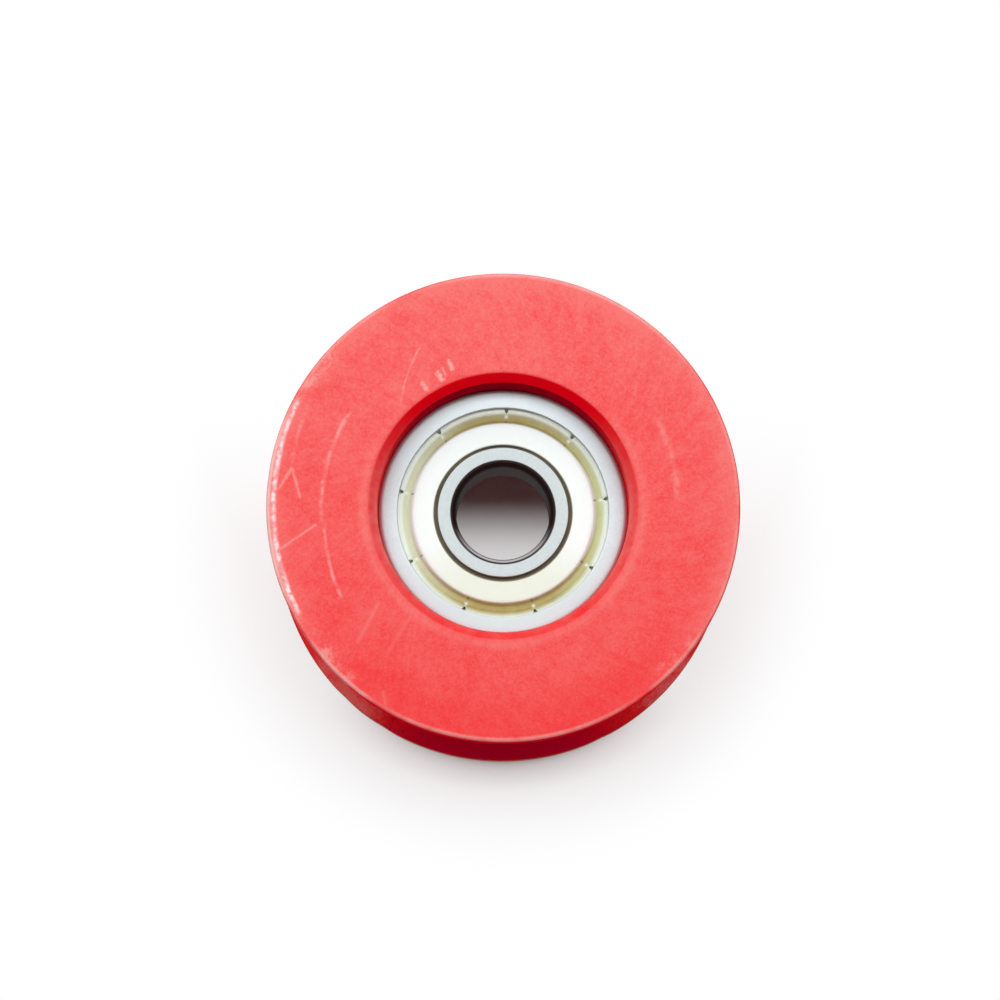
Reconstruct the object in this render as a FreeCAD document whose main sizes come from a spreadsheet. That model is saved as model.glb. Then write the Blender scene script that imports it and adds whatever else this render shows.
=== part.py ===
"""Bicycle chain tensioner pulley: a grooved plastic wheel on a shielded ball bearing.

Frame: the axis of rotation is Z, the origin lies on that axis half way between the two
outer faces of the wheel, and the face with the bearing recess points to +Z.
"""
import FreeCAD, Part
import os
import Sketcher

doc = FreeCAD.newDocument("ChainTensionerPulley")
sheet = doc.addObject("Spreadsheet::Sheet", "Sizes")

# Driving sizes in millimetres, degrees or counts.
SIZES = [
    # Wheel
    ("rim_radius", "22.5"),
    ("wheel_width", "22.0"),
    ("rim_land", "2.6"),
    ("groove_depth", "6.8"),
    ("flank_lean", "1.7"),
    ("root_fillet", "2.0"),
    ("rim_fillet", "0.45"),
    ("lip_fillet", "0.5"),
    ("recess_depth", "4.3"),
    ("mouth_width", "0.85"),
    ("mouth_depth", "0.95"),
    ("mouth_fillet", "0.5"),
    ("shoulder_width", "1.5"),
    ("back_mouth_width", "1.1"),
    ("back_mouth_depth", "1.4"),
    # Bearing envelope
    ("bore_radius", "4.5"),
    ("bearing_radius", "12.0"),
    ("bearing_width", "7.0"),
    ("outer_corner", "0.5"),
    ("bore_lead_width", "0.5"),
    ("bore_lead_depth", "1.0"),
    # Balls and raceways
    ("ball_count", "7"),
    ("ball_radius", "1.984"),
    ("race_gap", "0.03"),
    ("race_ease", "0.08"),
    ("race_depth", "0.75"),
    ("inner_step_drop", "0.72"),
    ("inner_step_depth", "1.1"),
    ("inner_edge_break", "0.12"),
    # Shield and its seat in the outer ring
    ("lip_step", "0.655"),
    ("lip_height", "0.6"),
    ("undercut_width", "0.4"),
    ("undercut_depth", "0.2"),
    ("land_bevel_width", "0.45"),
    ("land_bevel_depth", "0.7"),
    ("shield_sheet", "0.3"),
    ("shield_hold", "0.12"),
    ("shield_gap", "0.32"),
    ("shield_rim_width", "0.65"),
    ("shield_slope", "0.35"),
    ("shield_shift", "0.1"),
    ("shield_dip_width", "0.25"),
    ("shield_dip_drop", "0.1"),
    ("shield_flat_sink", "0.35"),
    ("shield_bend", "0.2"),
    ("notch_count", "9"),
    ("notch_width", "0.28"),
    ("notch_length", "0.55"),
    ("notch_angle", "88.0"),
    # Cage
    ("cage_sheet", "0.3"),
    ("pocket_gap", "0.06"),
    ("cage_inner_gap", "0.3"),
    ("cage_outer_gap", "0.85"),
    ("rivet_radius", "0.35"),
    ("rivet_gap", "0.02"),
    ("rivet_head_radius", "0.6"),
    ("rivet_head_flat", "0.38"),
    ("rivet_head_height", "0.26"),
]
for row, (alias, text) in enumerate(SIZES, start=1):
    sheet.set("A%d" % row, alias)
    sheet.set("B%d" % row, text)
    sheet.setAlias("B%d" % row, alias)
doc.recompute()


def size(alias):
    """Return one driving size as a number."""
    return float(sheet.get(alias))


# Sizes that follow from the driving ones, as expressions over the sheet.
HALF_WIDTH = "Sizes.wheel_width / 2"
ROOT_RADIUS = "(Sizes.rim_radius - Sizes.groove_depth)"
SEAT_DEPTH = "(Sizes.recess_depth + Sizes.bearing_width)"
BACK_RADIUS = "(Sizes.bearing_radius - Sizes.shoulder_width)"
BEARING_BASE = "(" + HALF_WIDTH + " - " + SEAT_DEPTH + ")"
BEARING_MIDDLE = "(" + BEARING_BASE + " + Sizes.bearing_width / 2)"
PITCH = "((Sizes.bore_radius + Sizes.bearing_radius) / 2)"
RACE_REACH = "(Sizes.ball_radius + Sizes.race_gap)"
RACE_CURVE = "(Sizes.ball_radius + Sizes.race_ease)"
INNER_LAND = "(" + PITCH + " - " + RACE_REACH + " + Sizes.race_depth)"
OUTER_LAND = "(" + PITCH + " + " + RACE_REACH + " - Sizes.race_depth)"
INNER_FACE = "(" + INNER_LAND + " - Sizes.inner_step_drop)"
LIP_RADIUS = "(" + OUTER_LAND + " + Sizes.lip_step)"
SEAT_FLOOR = "(Sizes.lip_height + Sizes.undercut_width)"
BEVEL_EDGE = "(" + OUTER_LAND + " + Sizes.land_bevel_width)"
BEVEL_FLOOR = "(" + SEAT_FLOOR + " + Sizes.land_bevel_depth)"
SHIELD_HOLE = "(" + INNER_FACE + " + Sizes.shield_gap)"
SHIELD_EDGE = "(" + LIP_RADIUS + " + Sizes.shield_hold)"
POCKET = "(Sizes.ball_radius + Sizes.pocket_gap)"
CUP = "(" + POCKET + " + Sizes.cage_sheet)"
CAGE_INNER = "(" + INNER_LAND + " + Sizes.cage_inner_gap)"
CAGE_OUTER = "(" + OUTER_LAND + " - Sizes.cage_outer_gap)"
RIVET_CIRCLE = "((" + CAGE_INNER + " + " + CAGE_OUTER + ") / 2)"


def origin_feature(body, role):
    """Return a body's own origin plane or axis."""
    for feature in body.Origin.OriginFeatures:
        if feature.Role == role:
            return feature
    raise ValueError("no origin feature " + role)


def new_body(label):
    """Return an empty body with its label."""
    body = doc.addObject("PartDesign::Body", label)
    body.Label = label
    return body


def new_sketch(body, name, role, lift=None):
    """Return a sketch on one of the body's origin planes, lifted off it by an expression."""
    sketch = body.newObject("Sketcher::SketchObject", name)
    sketch.AttachmentSupport = (origin_feature(body, role), [""])
    sketch.MapMode = "FlatFace"
    if lift:
        sketch.setExpression("AttachmentOffset.Base.z", lift)
    return sketch


def pin(sketch, geometry, position, across, up):
    """Fix a point of a sketch at two expressions measured from the sketch's origin."""
    for kind, axis, text in (("DistanceX", -2, across), ("DistanceY", -1, up)):
        if text == "0":
            sketch.addConstraint(Sketcher.Constraint("PointOnObject", geometry, position, axis))
        else:
            index = sketch.addConstraint(Sketcher.Constraint(kind, -1, 1, geometry, position, 1.0))
            sketch.setExpression("Constraints[%d]" % index, text)


def add_polygon(sketch, corners):
    """Draw a closed polygon whose corners are pairs of expressions."""
    count = len(corners)
    start = FreeCAD.Vector(20.0, 10.0, 0.0)
    turn = FreeCAD.Rotation(FreeCAD.Vector(0, 0, 1), 360.0 / count)
    arm = FreeCAD.Vector(5.0, 0.0, 0.0)
    first = len(sketch.Geometry)
    for _ in range(count):
        following = turn.multVec(arm)
        sketch.addGeometry(Part.LineSegment(start + arm, start + following), False)
        arm = following
    for index in range(count):
        after = (index + 1) % count
        sketch.addConstraint(Sketcher.Constraint("Coincident", first + index, 2, first + after, 1))
    for index, (across, up) in enumerate(corners):
        pin(sketch, first + index, 1, across, up)


def add_circle(sketch, across, up, radius):
    """Draw a circle with its centre and radius given as expressions."""
    normal = FreeCAD.Vector(0, 0, 1)
    index = sketch.addGeometry(Part.Circle(FreeCAD.Vector(3, 2, 0), normal, 1.0), False)
    if across == "0" and up == "0":
        sketch.addConstraint(Sketcher.Constraint("Coincident", index, 3, -1, 1))
    else:
        pin(sketch, index, 3, across, up)
    sized = sketch.addConstraint(Sketcher.Constraint("Radius", index, 1.0))
    sketch.setExpression("Constraints[%d]" % sized, radius)


def spin(body, kind, name, sketch):
    """Turn a sketch once round its own vertical axis, to add or to remove material."""
    feature = body.newObject(kind, name)
    feature.Profile = sketch
    feature.ReferenceAxis = (sketch, ["V_Axis"])
    feature.Angle = 360.0
    return settle(body, feature)


def settle(body, feature):
    """Recompute a feature, make it the body's result and see that it changed the body."""
    volume = 0.0 if body.Shape.isNull() else body.Shape.Volume
    faces = 0 if body.Shape.isNull() else len(body.Shape.Faces)
    body.Tip = feature
    doc.recompute()
    if body.Shape.isNull():
        raise ValueError("no shape after " + feature.Name)
    if len(body.Shape.Faces) == faces and abs(body.Shape.Volume - volume) < 1e-7:
        raise ValueError("no change by " + feature.Name)
    return feature


def extrude(body, kind, name, sketch, length=None, flipped=False):
    """Pad or pocket a sketch by an expression, or cut right through."""
    feature = body.newObject(kind, name)
    feature.Profile = sketch
    if length:
        feature.setExpression("Length", length)
    else:
        feature.Type = "ThroughAll"
    feature.Reversed = flipped
    return settle(body, feature)


def repeat_round(body, name, original, count):
    """Repeat a feature round the body's Z axis."""
    pattern = body.newObject("PartDesign::PolarPattern", name)
    pattern.Originals = [original]
    pattern.Axis = (origin_feature(body, "Z_Axis"), [""])
    pattern.Angle = 360.0
    pattern.setExpression("Occurrences", count)
    return settle(body, pattern)


def round_edges(body, name, radius, wanted):
    """Fillet the circular edges for which wanted(radius, height) holds."""
    base = body.Tip
    names = []
    for index, edge in enumerate(base.Shape.Edges, start=1):
        curve = edge.Curve
        if isinstance(curve, Part.Circle) and edge.isClosed() and wanted(curve.Radius, curve.Center.z):
            names.append("Edge%d" % index)
    fillet = body.newObject("PartDesign::Fillet", name)
    fillet.Base = (base, names)
    fillet.setExpression("Radius", radius)
    return settle(body, fillet)


def near(first, second):
    """Tell whether two lengths agree."""
    return abs(first - second) < 1e-4


def make_wheel():
    """Build the grooved wheel with its recess, bearing seat and shoulder."""
    body = new_body("pulley_wheel")
    disc = new_sketch(body, "WheelDisc", "XY_Plane")
    add_circle(disc, "0", "0", "Sizes.rim_radius")
    extrude(body, "PartDesign::Pad", "WheelBlank", disc, "Sizes.wheel_width")

    # The chain groove: straight root, flanks that lean outwards to the rim.
    groove = new_sketch(body, "ChainGrooveProfile", "XZ_Plane")
    beyond = "Sizes.rim_radius + Sizes.rim_land"
    low = "Sizes.rim_land"
    low_root = "Sizes.rim_land + Sizes.flank_lean"
    add_polygon(groove, [
        (ROOT_RADIUS, low_root),
        ("Sizes.rim_radius", low),
        (beyond, low),
        (beyond, "Sizes.wheel_width - " + low),
        ("Sizes.rim_radius", "Sizes.wheel_width - " + low),
        (ROOT_RADIUS, "Sizes.wheel_width - Sizes.rim_land - Sizes.flank_lean"),
    ])
    spin(body, "PartDesign::Groove", "ChainGroove", groove)

    # The bearing seat from the upper face, then the narrower way through the shoulder.
    seat = new_sketch(body, "SeatCircle", "XY_Plane", "Sizes.wheel_width")
    add_circle(seat, "0", "0", "Sizes.bearing_radius")
    extrude(body, "PartDesign::Pocket", "BearingSeat", seat, SEAT_DEPTH)
    passage = new_sketch(body, "PassageCircle", "XY_Plane", "Sizes.wheel_width")
    add_circle(passage, "0", "0", BACK_RADIUS)
    extrude(body, "PartDesign::Pocket", "Passage", passage)

    # Conical mouths over the bearing and underneath.
    mouth = new_sketch(body, "MouthProfile", "XZ_Plane")
    add_polygon(mouth, [
        ("Sizes.bearing_radius", "Sizes.wheel_width - Sizes.mouth_depth"),
        ("Sizes.bearing_radius + Sizes.mouth_width", "Sizes.wheel_width"),
        ("Sizes.bearing_radius", "Sizes.wheel_width"),
    ])
    spin(body, "PartDesign::Groove", "RecessMouth", mouth)
    back = new_sketch(body, "BackMouthProfile", "XZ_Plane")
    add_polygon(back, [
        (BACK_RADIUS, "0"),
        (BACK_RADIUS + " + Sizes.back_mouth_width", "0"),
        (BACK_RADIUS, "Sizes.back_mouth_depth"),
    ])
    spin(body, "PartDesign::Groove", "BackMouth", back)

    # Roundings: groove root, groove lips, outer corners of the rim, edge of the upper mouth.
    rim = size("rim_radius")
    mouth_edge = size("bearing_radius") + size("mouth_width")
    root = rim - size("groove_depth")
    width = size("wheel_width")
    land = size("rim_land")
    round_edges(body, "RootFillets", "Sizes.root_fillet", lambda r, z: near(r, root))
    round_edges(body, "LipFillets", "Sizes.lip_fillet",
                lambda r, z: near(r, rim) and (near(z, land) or near(z, width - land)))
    round_edges(body, "RimFillets", "Sizes.rim_fillet",
                lambda r, z: near(r, rim) and (near(z, 0.0) or near(z, width)))
    round_edges(body, "MouthFillet", "Sizes.mouth_fillet",
                lambda r, z: near(r, mouth_edge) and near(z, width))
    body.setExpression("Placement.Base.z", "-" + HALF_WIDTH)
    return body


def make_outer_ring():
    """Build the outer ring with its raceway and a seat for a shield at each end."""
    body = new_body("bearing_outer_ring")
    profile = new_sketch(body, "OuterRingProfile", "XZ_Plane")
    undercut = LIP_RADIUS + " + Sizes.undercut_depth"
    width = "Sizes.bearing_width"
    add_polygon(profile, [
        ("Sizes.bearing_radius", "0"),
        ("Sizes.bearing_radius", width),
        (LIP_RADIUS, width),
        (LIP_RADIUS, width + " - Sizes.lip_height"),
        (undercut, width + " - Sizes.lip_height"),
        (undercut, width + " - " + SEAT_FLOOR),
        (BEVEL_EDGE, width + " - " + SEAT_FLOOR),
        (OUTER_LAND, width + " - " + BEVEL_FLOOR),
        (OUTER_LAND, BEVEL_FLOOR),
        (BEVEL_EDGE, SEAT_FLOOR),
        (undercut, SEAT_FLOOR),
        (undercut, "Sizes.lip_height"),
        (LIP_RADIUS, "Sizes.lip_height"),
        (LIP_RADIUS, "0"),
    ])
    spin(body, "PartDesign::Revolution", "OuterRingBlank", profile)
    race = new_sketch(body, "OuterRaceCircle", "XZ_Plane")
    centre = PITCH + " + " + RACE_REACH + " - " + RACE_CURVE
    add_circle(race, centre, "Sizes.bearing_width / 2", RACE_CURVE)
    spin(body, "PartDesign::Groove", "OuterRaceway", race)
    outside = size("bearing_radius")
    round_edges(body, "OuterCorners", "Sizes.outer_corner", lambda r, z: near(r, outside))
    body.setExpression("Placement.Base.z", BEARING_BASE)
    return body


def make_inner_ring():
    """Build the inner ring with its bore, tapered leads, raceway and stepped ends."""
    body = new_body("bearing_inner_ring")
    profile = new_sketch(body, "InnerRingProfile", "XZ_Plane")
    width = "Sizes.bearing_width"
    step = "Sizes.inner_step_depth"
    lead_edge = "Sizes.bore_radius + Sizes.bore_lead_width"
    add_polygon(profile, [
        ("Sizes.bore_radius", "Sizes.bore_lead_depth"),
        (lead_edge, "0"),
        (INNER_FACE, "0"),
        (INNER_FACE, step),
        (INNER_LAND, step),
        (INNER_LAND, width + " - " + step),
        (INNER_FACE, width + " - " + step),
        (INNER_FACE, width),
        (lead_edge, width),
        ("Sizes.bore_radius", width + " - Sizes.bore_lead_depth"),
    ])
    spin(body, "PartDesign::Revolution", "InnerRingBlank", profile)
    race = new_sketch(body, "InnerRaceCircle", "XZ_Plane")
    centre = PITCH + " - " + RACE_REACH + " + " + RACE_CURVE
    add_circle(race, centre, "Sizes.bearing_width / 2", RACE_CURVE)
    spin(body, "PartDesign::Groove", "InnerRaceway", race)
    tall = size("bearing_width")
    round_edges(body, "FaceEdges", "Sizes.inner_edge_break",
                lambda r, z: near(z, 0.0) or near(z, tall))
    body.setExpression("Placement.Base.z", BEARING_BASE)
    return body


def make_shield(label, upper):
    """Build one pressed shield: rim in the undercut, dip, raised flat and rim notches."""
    body = new_body(label)
    profile = new_sketch(body, label + "_profile", "XZ_Plane")
    half = "Sizes.bearing_width / 2"
    rim_under = half + " - " + SEAT_FLOOR
    rim_over = rim_under + " + Sizes.shield_sheet"
    dip_under = rim_under + " - Sizes.shield_dip_drop"
    dip_over = dip_under + " + Sizes.shield_sheet"
    flat_over = half + " - Sizes.shield_flat_sink"
    flat_under = flat_over + " - Sizes.shield_sheet"
    rim_in = SHIELD_EDGE + " - Sizes.shield_rim_width"
    dip_out = rim_in + " - Sizes.shield_slope"
    dip_in = dip_out + " - Sizes.shield_dip_width"
    flat_out = dip_in + " - Sizes.shield_slope"
    add_polygon(profile, [
        (SHIELD_EDGE, rim_under),
        (SHIELD_EDGE, rim_over),
        (rim_in, rim_over),
        (dip_out, dip_over),
        (dip_in, dip_over),
        (flat_out, flat_over),
        (SHIELD_HOLE, flat_over),
        (SHIELD_HOLE, flat_under),
        (flat_out + " - Sizes.shield_shift", flat_under),
        (dip_in + " - Sizes.shield_shift", dip_under),
        (dip_out + " + Sizes.shield_shift", dip_under),
        (rim_in + " + Sizes.shield_shift", rim_under),
    ])
    spin(body, "PartDesign::Revolution", label + "_sheet", profile)

    # Every bend between the hole and the rim is rounded.
    radii = sorted(edge.Curve.Radius for edge in body.Shape.Edges if isinstance(edge.Curve, Part.Circle))
    smallest = radii[0]
    largest = radii[-1]
    round_edges(body, label + "_bends", "Sizes.shield_bend",
                lambda r, z: not near(r, smallest) and not near(r, largest))

    # Notches in the rim let it spread into the undercut.
    slot = new_sketch(body, label + "_slot", "XY_Plane")
    add_strip(slot, SHIELD_EDGE + " - Sizes.notch_length", SHIELD_EDGE + " + Sizes.notch_width",
              "Sizes.notch_width")
    cut = extrude(body, "PartDesign::Pocket", label + "_notch", slot, None, True)
    repeat_round(body, label + "_notches", cut, "Sizes.notch_count")
    if upper:
        body.Placement.Rotation = FreeCAD.Rotation(FreeCAD.Vector(0, 0, 1), size("notch_angle"))
    else:
        body.Placement.Rotation = FreeCAD.Rotation(FreeCAD.Vector(1, 0, 0), 180.0)
    body.setExpression("Placement.Base.z", BEARING_MIDDLE)
    return body


def add_strip(sketch, near_side, far_side, width):
    """Draw a rectangle across the sketch's X axis, half its width on each side of it."""
    points = [FreeCAD.Vector(x, y, 0) for x, y in ((8, -1), (9, -1), (9, 1), (8, 1))]
    for index in range(4):
        sketch.addGeometry(Part.LineSegment(points[index], points[(index + 1) % 4]), False)
    for index in range(4):
        sketch.addConstraint(Sketcher.Constraint("Coincident", index, 2, (index + 1) % 4, 1))
    sketch.addConstraint(Sketcher.Constraint("Horizontal", 0))
    sketch.addConstraint(Sketcher.Constraint("Horizontal", 2))
    sketch.addConstraint(Sketcher.Constraint("Vertical", 3))
    sketch.addConstraint(Sketcher.Constraint("Symmetric", 1, 1, 1, 2, -1))
    left = sketch.addConstraint(Sketcher.Constraint("DistanceX", -1, 1, 0, 1, 8.0))
    sketch.setExpression("Constraints[%d]" % left, near_side)
    right = sketch.addConstraint(Sketcher.Constraint("DistanceX", -1, 1, 0, 2, 9.0))
    sketch.setExpression("Constraints[%d]" % right, far_side)
    across = sketch.addConstraint(Sketcher.Constraint("DistanceY", 1, 1, 1, 2, 2.0))
    sketch.setExpression("Constraints[%d]" % across, width)


def add_hemisphere(body, kind, name, radius):
    """Add or cut a hemisphere on the pitch circle, its flat side on the body's XY plane."""
    feature = body.newObject(kind, name)
    feature.AttachmentSupport = (origin_feature(body, "XY_Plane"), [""])
    feature.MapMode = "FlatFace"
    feature.setExpression("AttachmentOffset.Base.x", PITCH)
    feature.setExpression("Radius", radius)
    feature.Angle1 = 0.0
    return settle(body, feature)


def make_cage_half(label, upper):
    """Build one pressed ribbon: flat lands between spherical cups, with rivet holes."""
    body = new_body(label)
    ring = new_sketch(body, label + "_ring", "XY_Plane")
    add_circle(ring, "0", "0", CAGE_OUTER)
    add_circle(ring, "0", "0", CAGE_INNER)
    extrude(body, "PartDesign::Pad", label + "_ribbon", ring, "Sizes.cage_sheet")
    cup = add_hemisphere(body, "PartDesign::AdditiveSphere", label + "_cup", CUP)
    repeat_round(body, label + "_cups", cup, "Sizes.ball_count")

    # The cups are trimmed to the ribbon's own width.
    above = CUP + " + Sizes.cage_sheet"
    outside = new_sketch(body, label + "_outside", "XZ_Plane")
    far = PITCH + " + " + CUP + " + Sizes.cage_sheet"
    add_polygon(outside, [(CAGE_OUTER, "0"), (far, "0"), (far, above), (CAGE_OUTER, above)])
    spin(body, "PartDesign::Groove", label + "_outer_trim", outside)
    inside = new_sketch(body, label + "_inside", "XZ_Plane")
    close = PITCH + " - " + CUP + " - Sizes.cage_sheet"
    add_polygon(inside, [(close, "0"), (CAGE_INNER, "0"), (CAGE_INNER, above), (close, above)])
    spin(body, "PartDesign::Groove", label + "_inner_trim", inside)

    # The room for the balls, then the rivet holes half way between them.
    pocket = add_hemisphere(body, "PartDesign::SubtractiveSphere", label + "_pocket", POCKET)
    repeat_round(body, label + "_pockets", pocket, "Sizes.ball_count")
    hole = new_sketch(body, label + "_hole", "XY_Plane")
    half_step = "(180 / Sizes.ball_count)"
    add_circle(hole, RIVET_CIRCLE + " * cos" + half_step, RIVET_CIRCLE + " * sin" + half_step,
               "Sizes.rivet_radius + Sizes.rivet_gap")
    cut = extrude(body, "PartDesign::Pocket", label + "_rivet_hole", hole, None, True)
    repeat_round(body, label + "_rivet_holes", cut, "Sizes.ball_count")
    if not upper:
        body.Placement.Rotation = FreeCAD.Rotation(FreeCAD.Vector(1, 0, 0), 180.0)
    body.setExpression("Placement.Base.z", BEARING_MIDDLE)
    return body


def make_rivets(label):
    """Build the rivets as one group: a shank and two domed heads in each land of the cage."""
    body = new_body(label)
    body.AllowCompound = True
    profile = new_sketch(body, label + "_profile", "XZ_Plane")
    profile.setExpression("AttachmentOffset.Base.x", RIVET_CIRCLE)
    head = "Sizes.rivet_head_height"
    neck = head + " + 2 * Sizes.cage_sheet"
    top = neck + " + Sizes.rivet_head_height"
    add_polygon(profile, [
        ("0", "0"),
        ("Sizes.rivet_head_flat", "0"),
        ("Sizes.rivet_head_radius", head),
        ("Sizes.rivet_radius", head),
        ("Sizes.rivet_radius", neck),
        ("Sizes.rivet_head_radius", neck),
        ("Sizes.rivet_head_flat", top),
        ("0", top),
    ])
    rivet = spin(body, "PartDesign::Revolution", label + "_first", profile)
    repeat_round(body, label + "_all", rivet, "Sizes.ball_count")
    turn = 180.0 / size("ball_count")
    body.Placement.Rotation = FreeCAD.Rotation(FreeCAD.Vector(0, 0, 1), turn)
    body.setExpression("Placement.Base.z",
                       BEARING_MIDDLE + " - Sizes.cage_sheet - Sizes.rivet_head_height")
    return body


def make_balls():
    """Build the balls on the pitch circle, the first one on the X axis."""
    balls = []
    for index in range(int(size("ball_count"))):
        label = "ball_%d" % (index + 1)
        ball = doc.addObject("Part::Sphere", label)
        ball.Label = label
        ball.setExpression("Radius", "Sizes.ball_radius")
        turn = "(%d * 360 / Sizes.ball_count)" % index
        ball.setExpression("Placement.Base.x", PITCH + " * cos" + turn)
        ball.setExpression("Placement.Base.y", PITCH + " * sin" + turn)
        ball.setExpression("Placement.Base.z", BEARING_MIDDLE)
        balls.append(ball)
    return balls


pieces = [make_wheel(), make_outer_ring(), make_inner_ring()]
pieces += make_balls()
pieces.append(make_cage_half("cage_upper_half", True))
pieces.append(make_cage_half("cage_lower_half", False))
pieces.append(make_rivets("cage_rivets"))
pieces.append(make_shield("shield_upper", True))
pieces.append(make_shield("shield_lower", False))
doc.recompute()

for item in doc.Objects:
    if "Invalid" in item.State or "Error" in item.State:
        raise ValueError("not computed: " + item.Name)
for piece in pieces:
    if piece.Shape.isNull() or not piece.Shape.isValid() or not piece.Shape.Solids:
        raise ValueError("no valid solid: " + piece.Label)

os.makedirs("parts", exist_ok=True)
for piece in pieces:
    piece.Shape.exportStep(os.path.join("parts", piece.Label + ".step"))
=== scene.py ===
"""Looks of a bicycle chain tensioner pulley: a scuffed red moulded wheel on a shielded ball bearing."""
import logging
import math
from dataclasses import dataclass, field
from enum import Enum
from functools import cached_property, reduce
from typing import Callable, Sequence, Union

import bpy
import numpy as np
from mathutils import Matrix, Vector


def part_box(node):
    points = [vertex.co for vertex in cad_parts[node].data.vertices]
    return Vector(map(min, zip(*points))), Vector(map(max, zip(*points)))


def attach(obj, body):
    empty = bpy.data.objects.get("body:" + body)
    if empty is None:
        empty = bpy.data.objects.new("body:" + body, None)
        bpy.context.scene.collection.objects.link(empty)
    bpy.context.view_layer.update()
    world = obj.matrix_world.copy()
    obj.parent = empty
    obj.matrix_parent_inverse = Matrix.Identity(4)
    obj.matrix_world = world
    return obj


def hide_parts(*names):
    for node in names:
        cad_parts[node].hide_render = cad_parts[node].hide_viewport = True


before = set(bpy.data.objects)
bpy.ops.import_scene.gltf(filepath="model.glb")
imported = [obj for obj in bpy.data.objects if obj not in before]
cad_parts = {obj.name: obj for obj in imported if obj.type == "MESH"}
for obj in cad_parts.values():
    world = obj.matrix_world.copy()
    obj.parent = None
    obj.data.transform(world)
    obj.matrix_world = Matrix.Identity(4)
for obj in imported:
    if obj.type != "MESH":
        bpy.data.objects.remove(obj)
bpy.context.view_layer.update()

LOG = logging.getLogger("pulley")
MM = 0.001
PHOTO_PIXELS = 1000
FULL_TURN = 360.0
RACE_POINTS = 15
FLAT = (1.0, 1.0, 0.0)
WHITE = (1.0, 1.0, 1.0)

Colour = tuple[float, float, float]
Band = tuple[float, float]
Texture = tuple[float, float, float]
Value = Union[float, "Wire"]
Wires = dict[str, "Wire"]
Rule = Callable[[Wires], Wires]
Warped = tuple[np.ndarray, np.ndarray]
Warp = Callable[[np.ndarray, np.ndarray, np.ndarray], Warped]


class Side(Enum):
    """The two ends of the bearing, as signs of their height."""

    UPPER = 1
    LOWER = -1


class Slot(Enum):
    """Names of material slots for the new pieces, which this script does not use."""

    WHEEL = "red_plastic"
    RING = "ring_steel"
    SHIELD = "shield_steel"


# Turned surfaces


@dataclass(frozen=True)
class Corner:
    """A corner of a turned outline, in millimetres, with the radius that rounds it."""

    r: float
    z: float
    rounding: float = 0.0


def race_corners(centre: float, middle: float, curve: float, land: float) -> list[Corner]:
    """Trace a raceway from its upper to its lower land.

    Formula: points on a circle round (centre, middle), from the angle where the circle
    meets the land's radius, through the raceway's deepest point, to the mirrored angle.

    Args:
        centre: Radius at which the circle's centre lies.
        middle: Height of the centre.
        curve: Radius of the raceway's cross-section.
        land: Radius of the land beside the raceway.

    Returns:
        The corners, without roundings.
    """
    lean = math.acos((land - centre) / curve)
    turns = np.linspace(lean, -lean, RACE_POINTS)
    return [Corner(r, z) for r, z in zip(centre + curve * np.cos(turns), middle + curve * np.sin(turns))]


def rounded_outline(corners: Sequence[Corner], step: float, arc_points: int = 7) -> np.ndarray:
    """Sample a closed outline with straight stretches and tangent arcs.

    Formula: the arc at a corner touches both sides at the distance rounding / tan(half the
    angle between them); its points are the centre plus the rounding times unit vectors that
    turn evenly from one touching point to the other. Stretches between arcs are sampled with
    the spacing of a cosine, which is closer near their ends.

    Args:
        corners: The corners in order, anticlockwise with the radius to the right.
        step: Longest spacing of points on a stretch, in millimetres.
        arc_points: Number of points on each arc.

    Returns:
        An array of (radius, height) pairs in millimetres.
    """
    points = np.array([(c.r, c.z) for c in corners])
    pieces = []
    for index, corner in enumerate(corners):
        here = points[index]
        back = points[index - 1] - here
        ahead = points[(index + 1) % len(points)] - here
        back, ahead = back / np.linalg.norm(back), ahead / np.linalg.norm(ahead)
        if corner.rounding <= 0.0:
            pieces.append(here[None, :])
            continue
        half = 0.5 * math.acos(float(np.clip(back @ ahead, -1.0, 1.0)))
        bisector = (back + ahead) / np.linalg.norm(back + ahead)
        centre = here + bisector * corner.rounding / math.sin(half)
        first = here + back * corner.rounding / math.tan(half) - centre
        last = here + ahead * corner.rounding / math.tan(half) - centre
        sweep = math.atan2(first[0] * last[1] - first[1] * last[0], first @ last)
        turns = np.linspace(0.0, sweep, arc_points)[:, None]
        across = np.array([-first[1], first[0]])
        pieces.append(centre + first * np.cos(turns) + across * np.sin(turns))
    outline = []
    for index, piece in enumerate(pieces):
        following = pieces[(index + 1) % len(pieces)][0]
        length = float(np.linalg.norm(following - piece[-1]))
        count = max(1, math.ceil(length / step))
        share = 0.5 - 0.5 * np.cos(np.pi * np.arange(1, count) / count)
        outline += [piece, piece[-1] + share[:, None] * (following - piece[-1])]
    return np.concatenate(outline)


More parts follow.
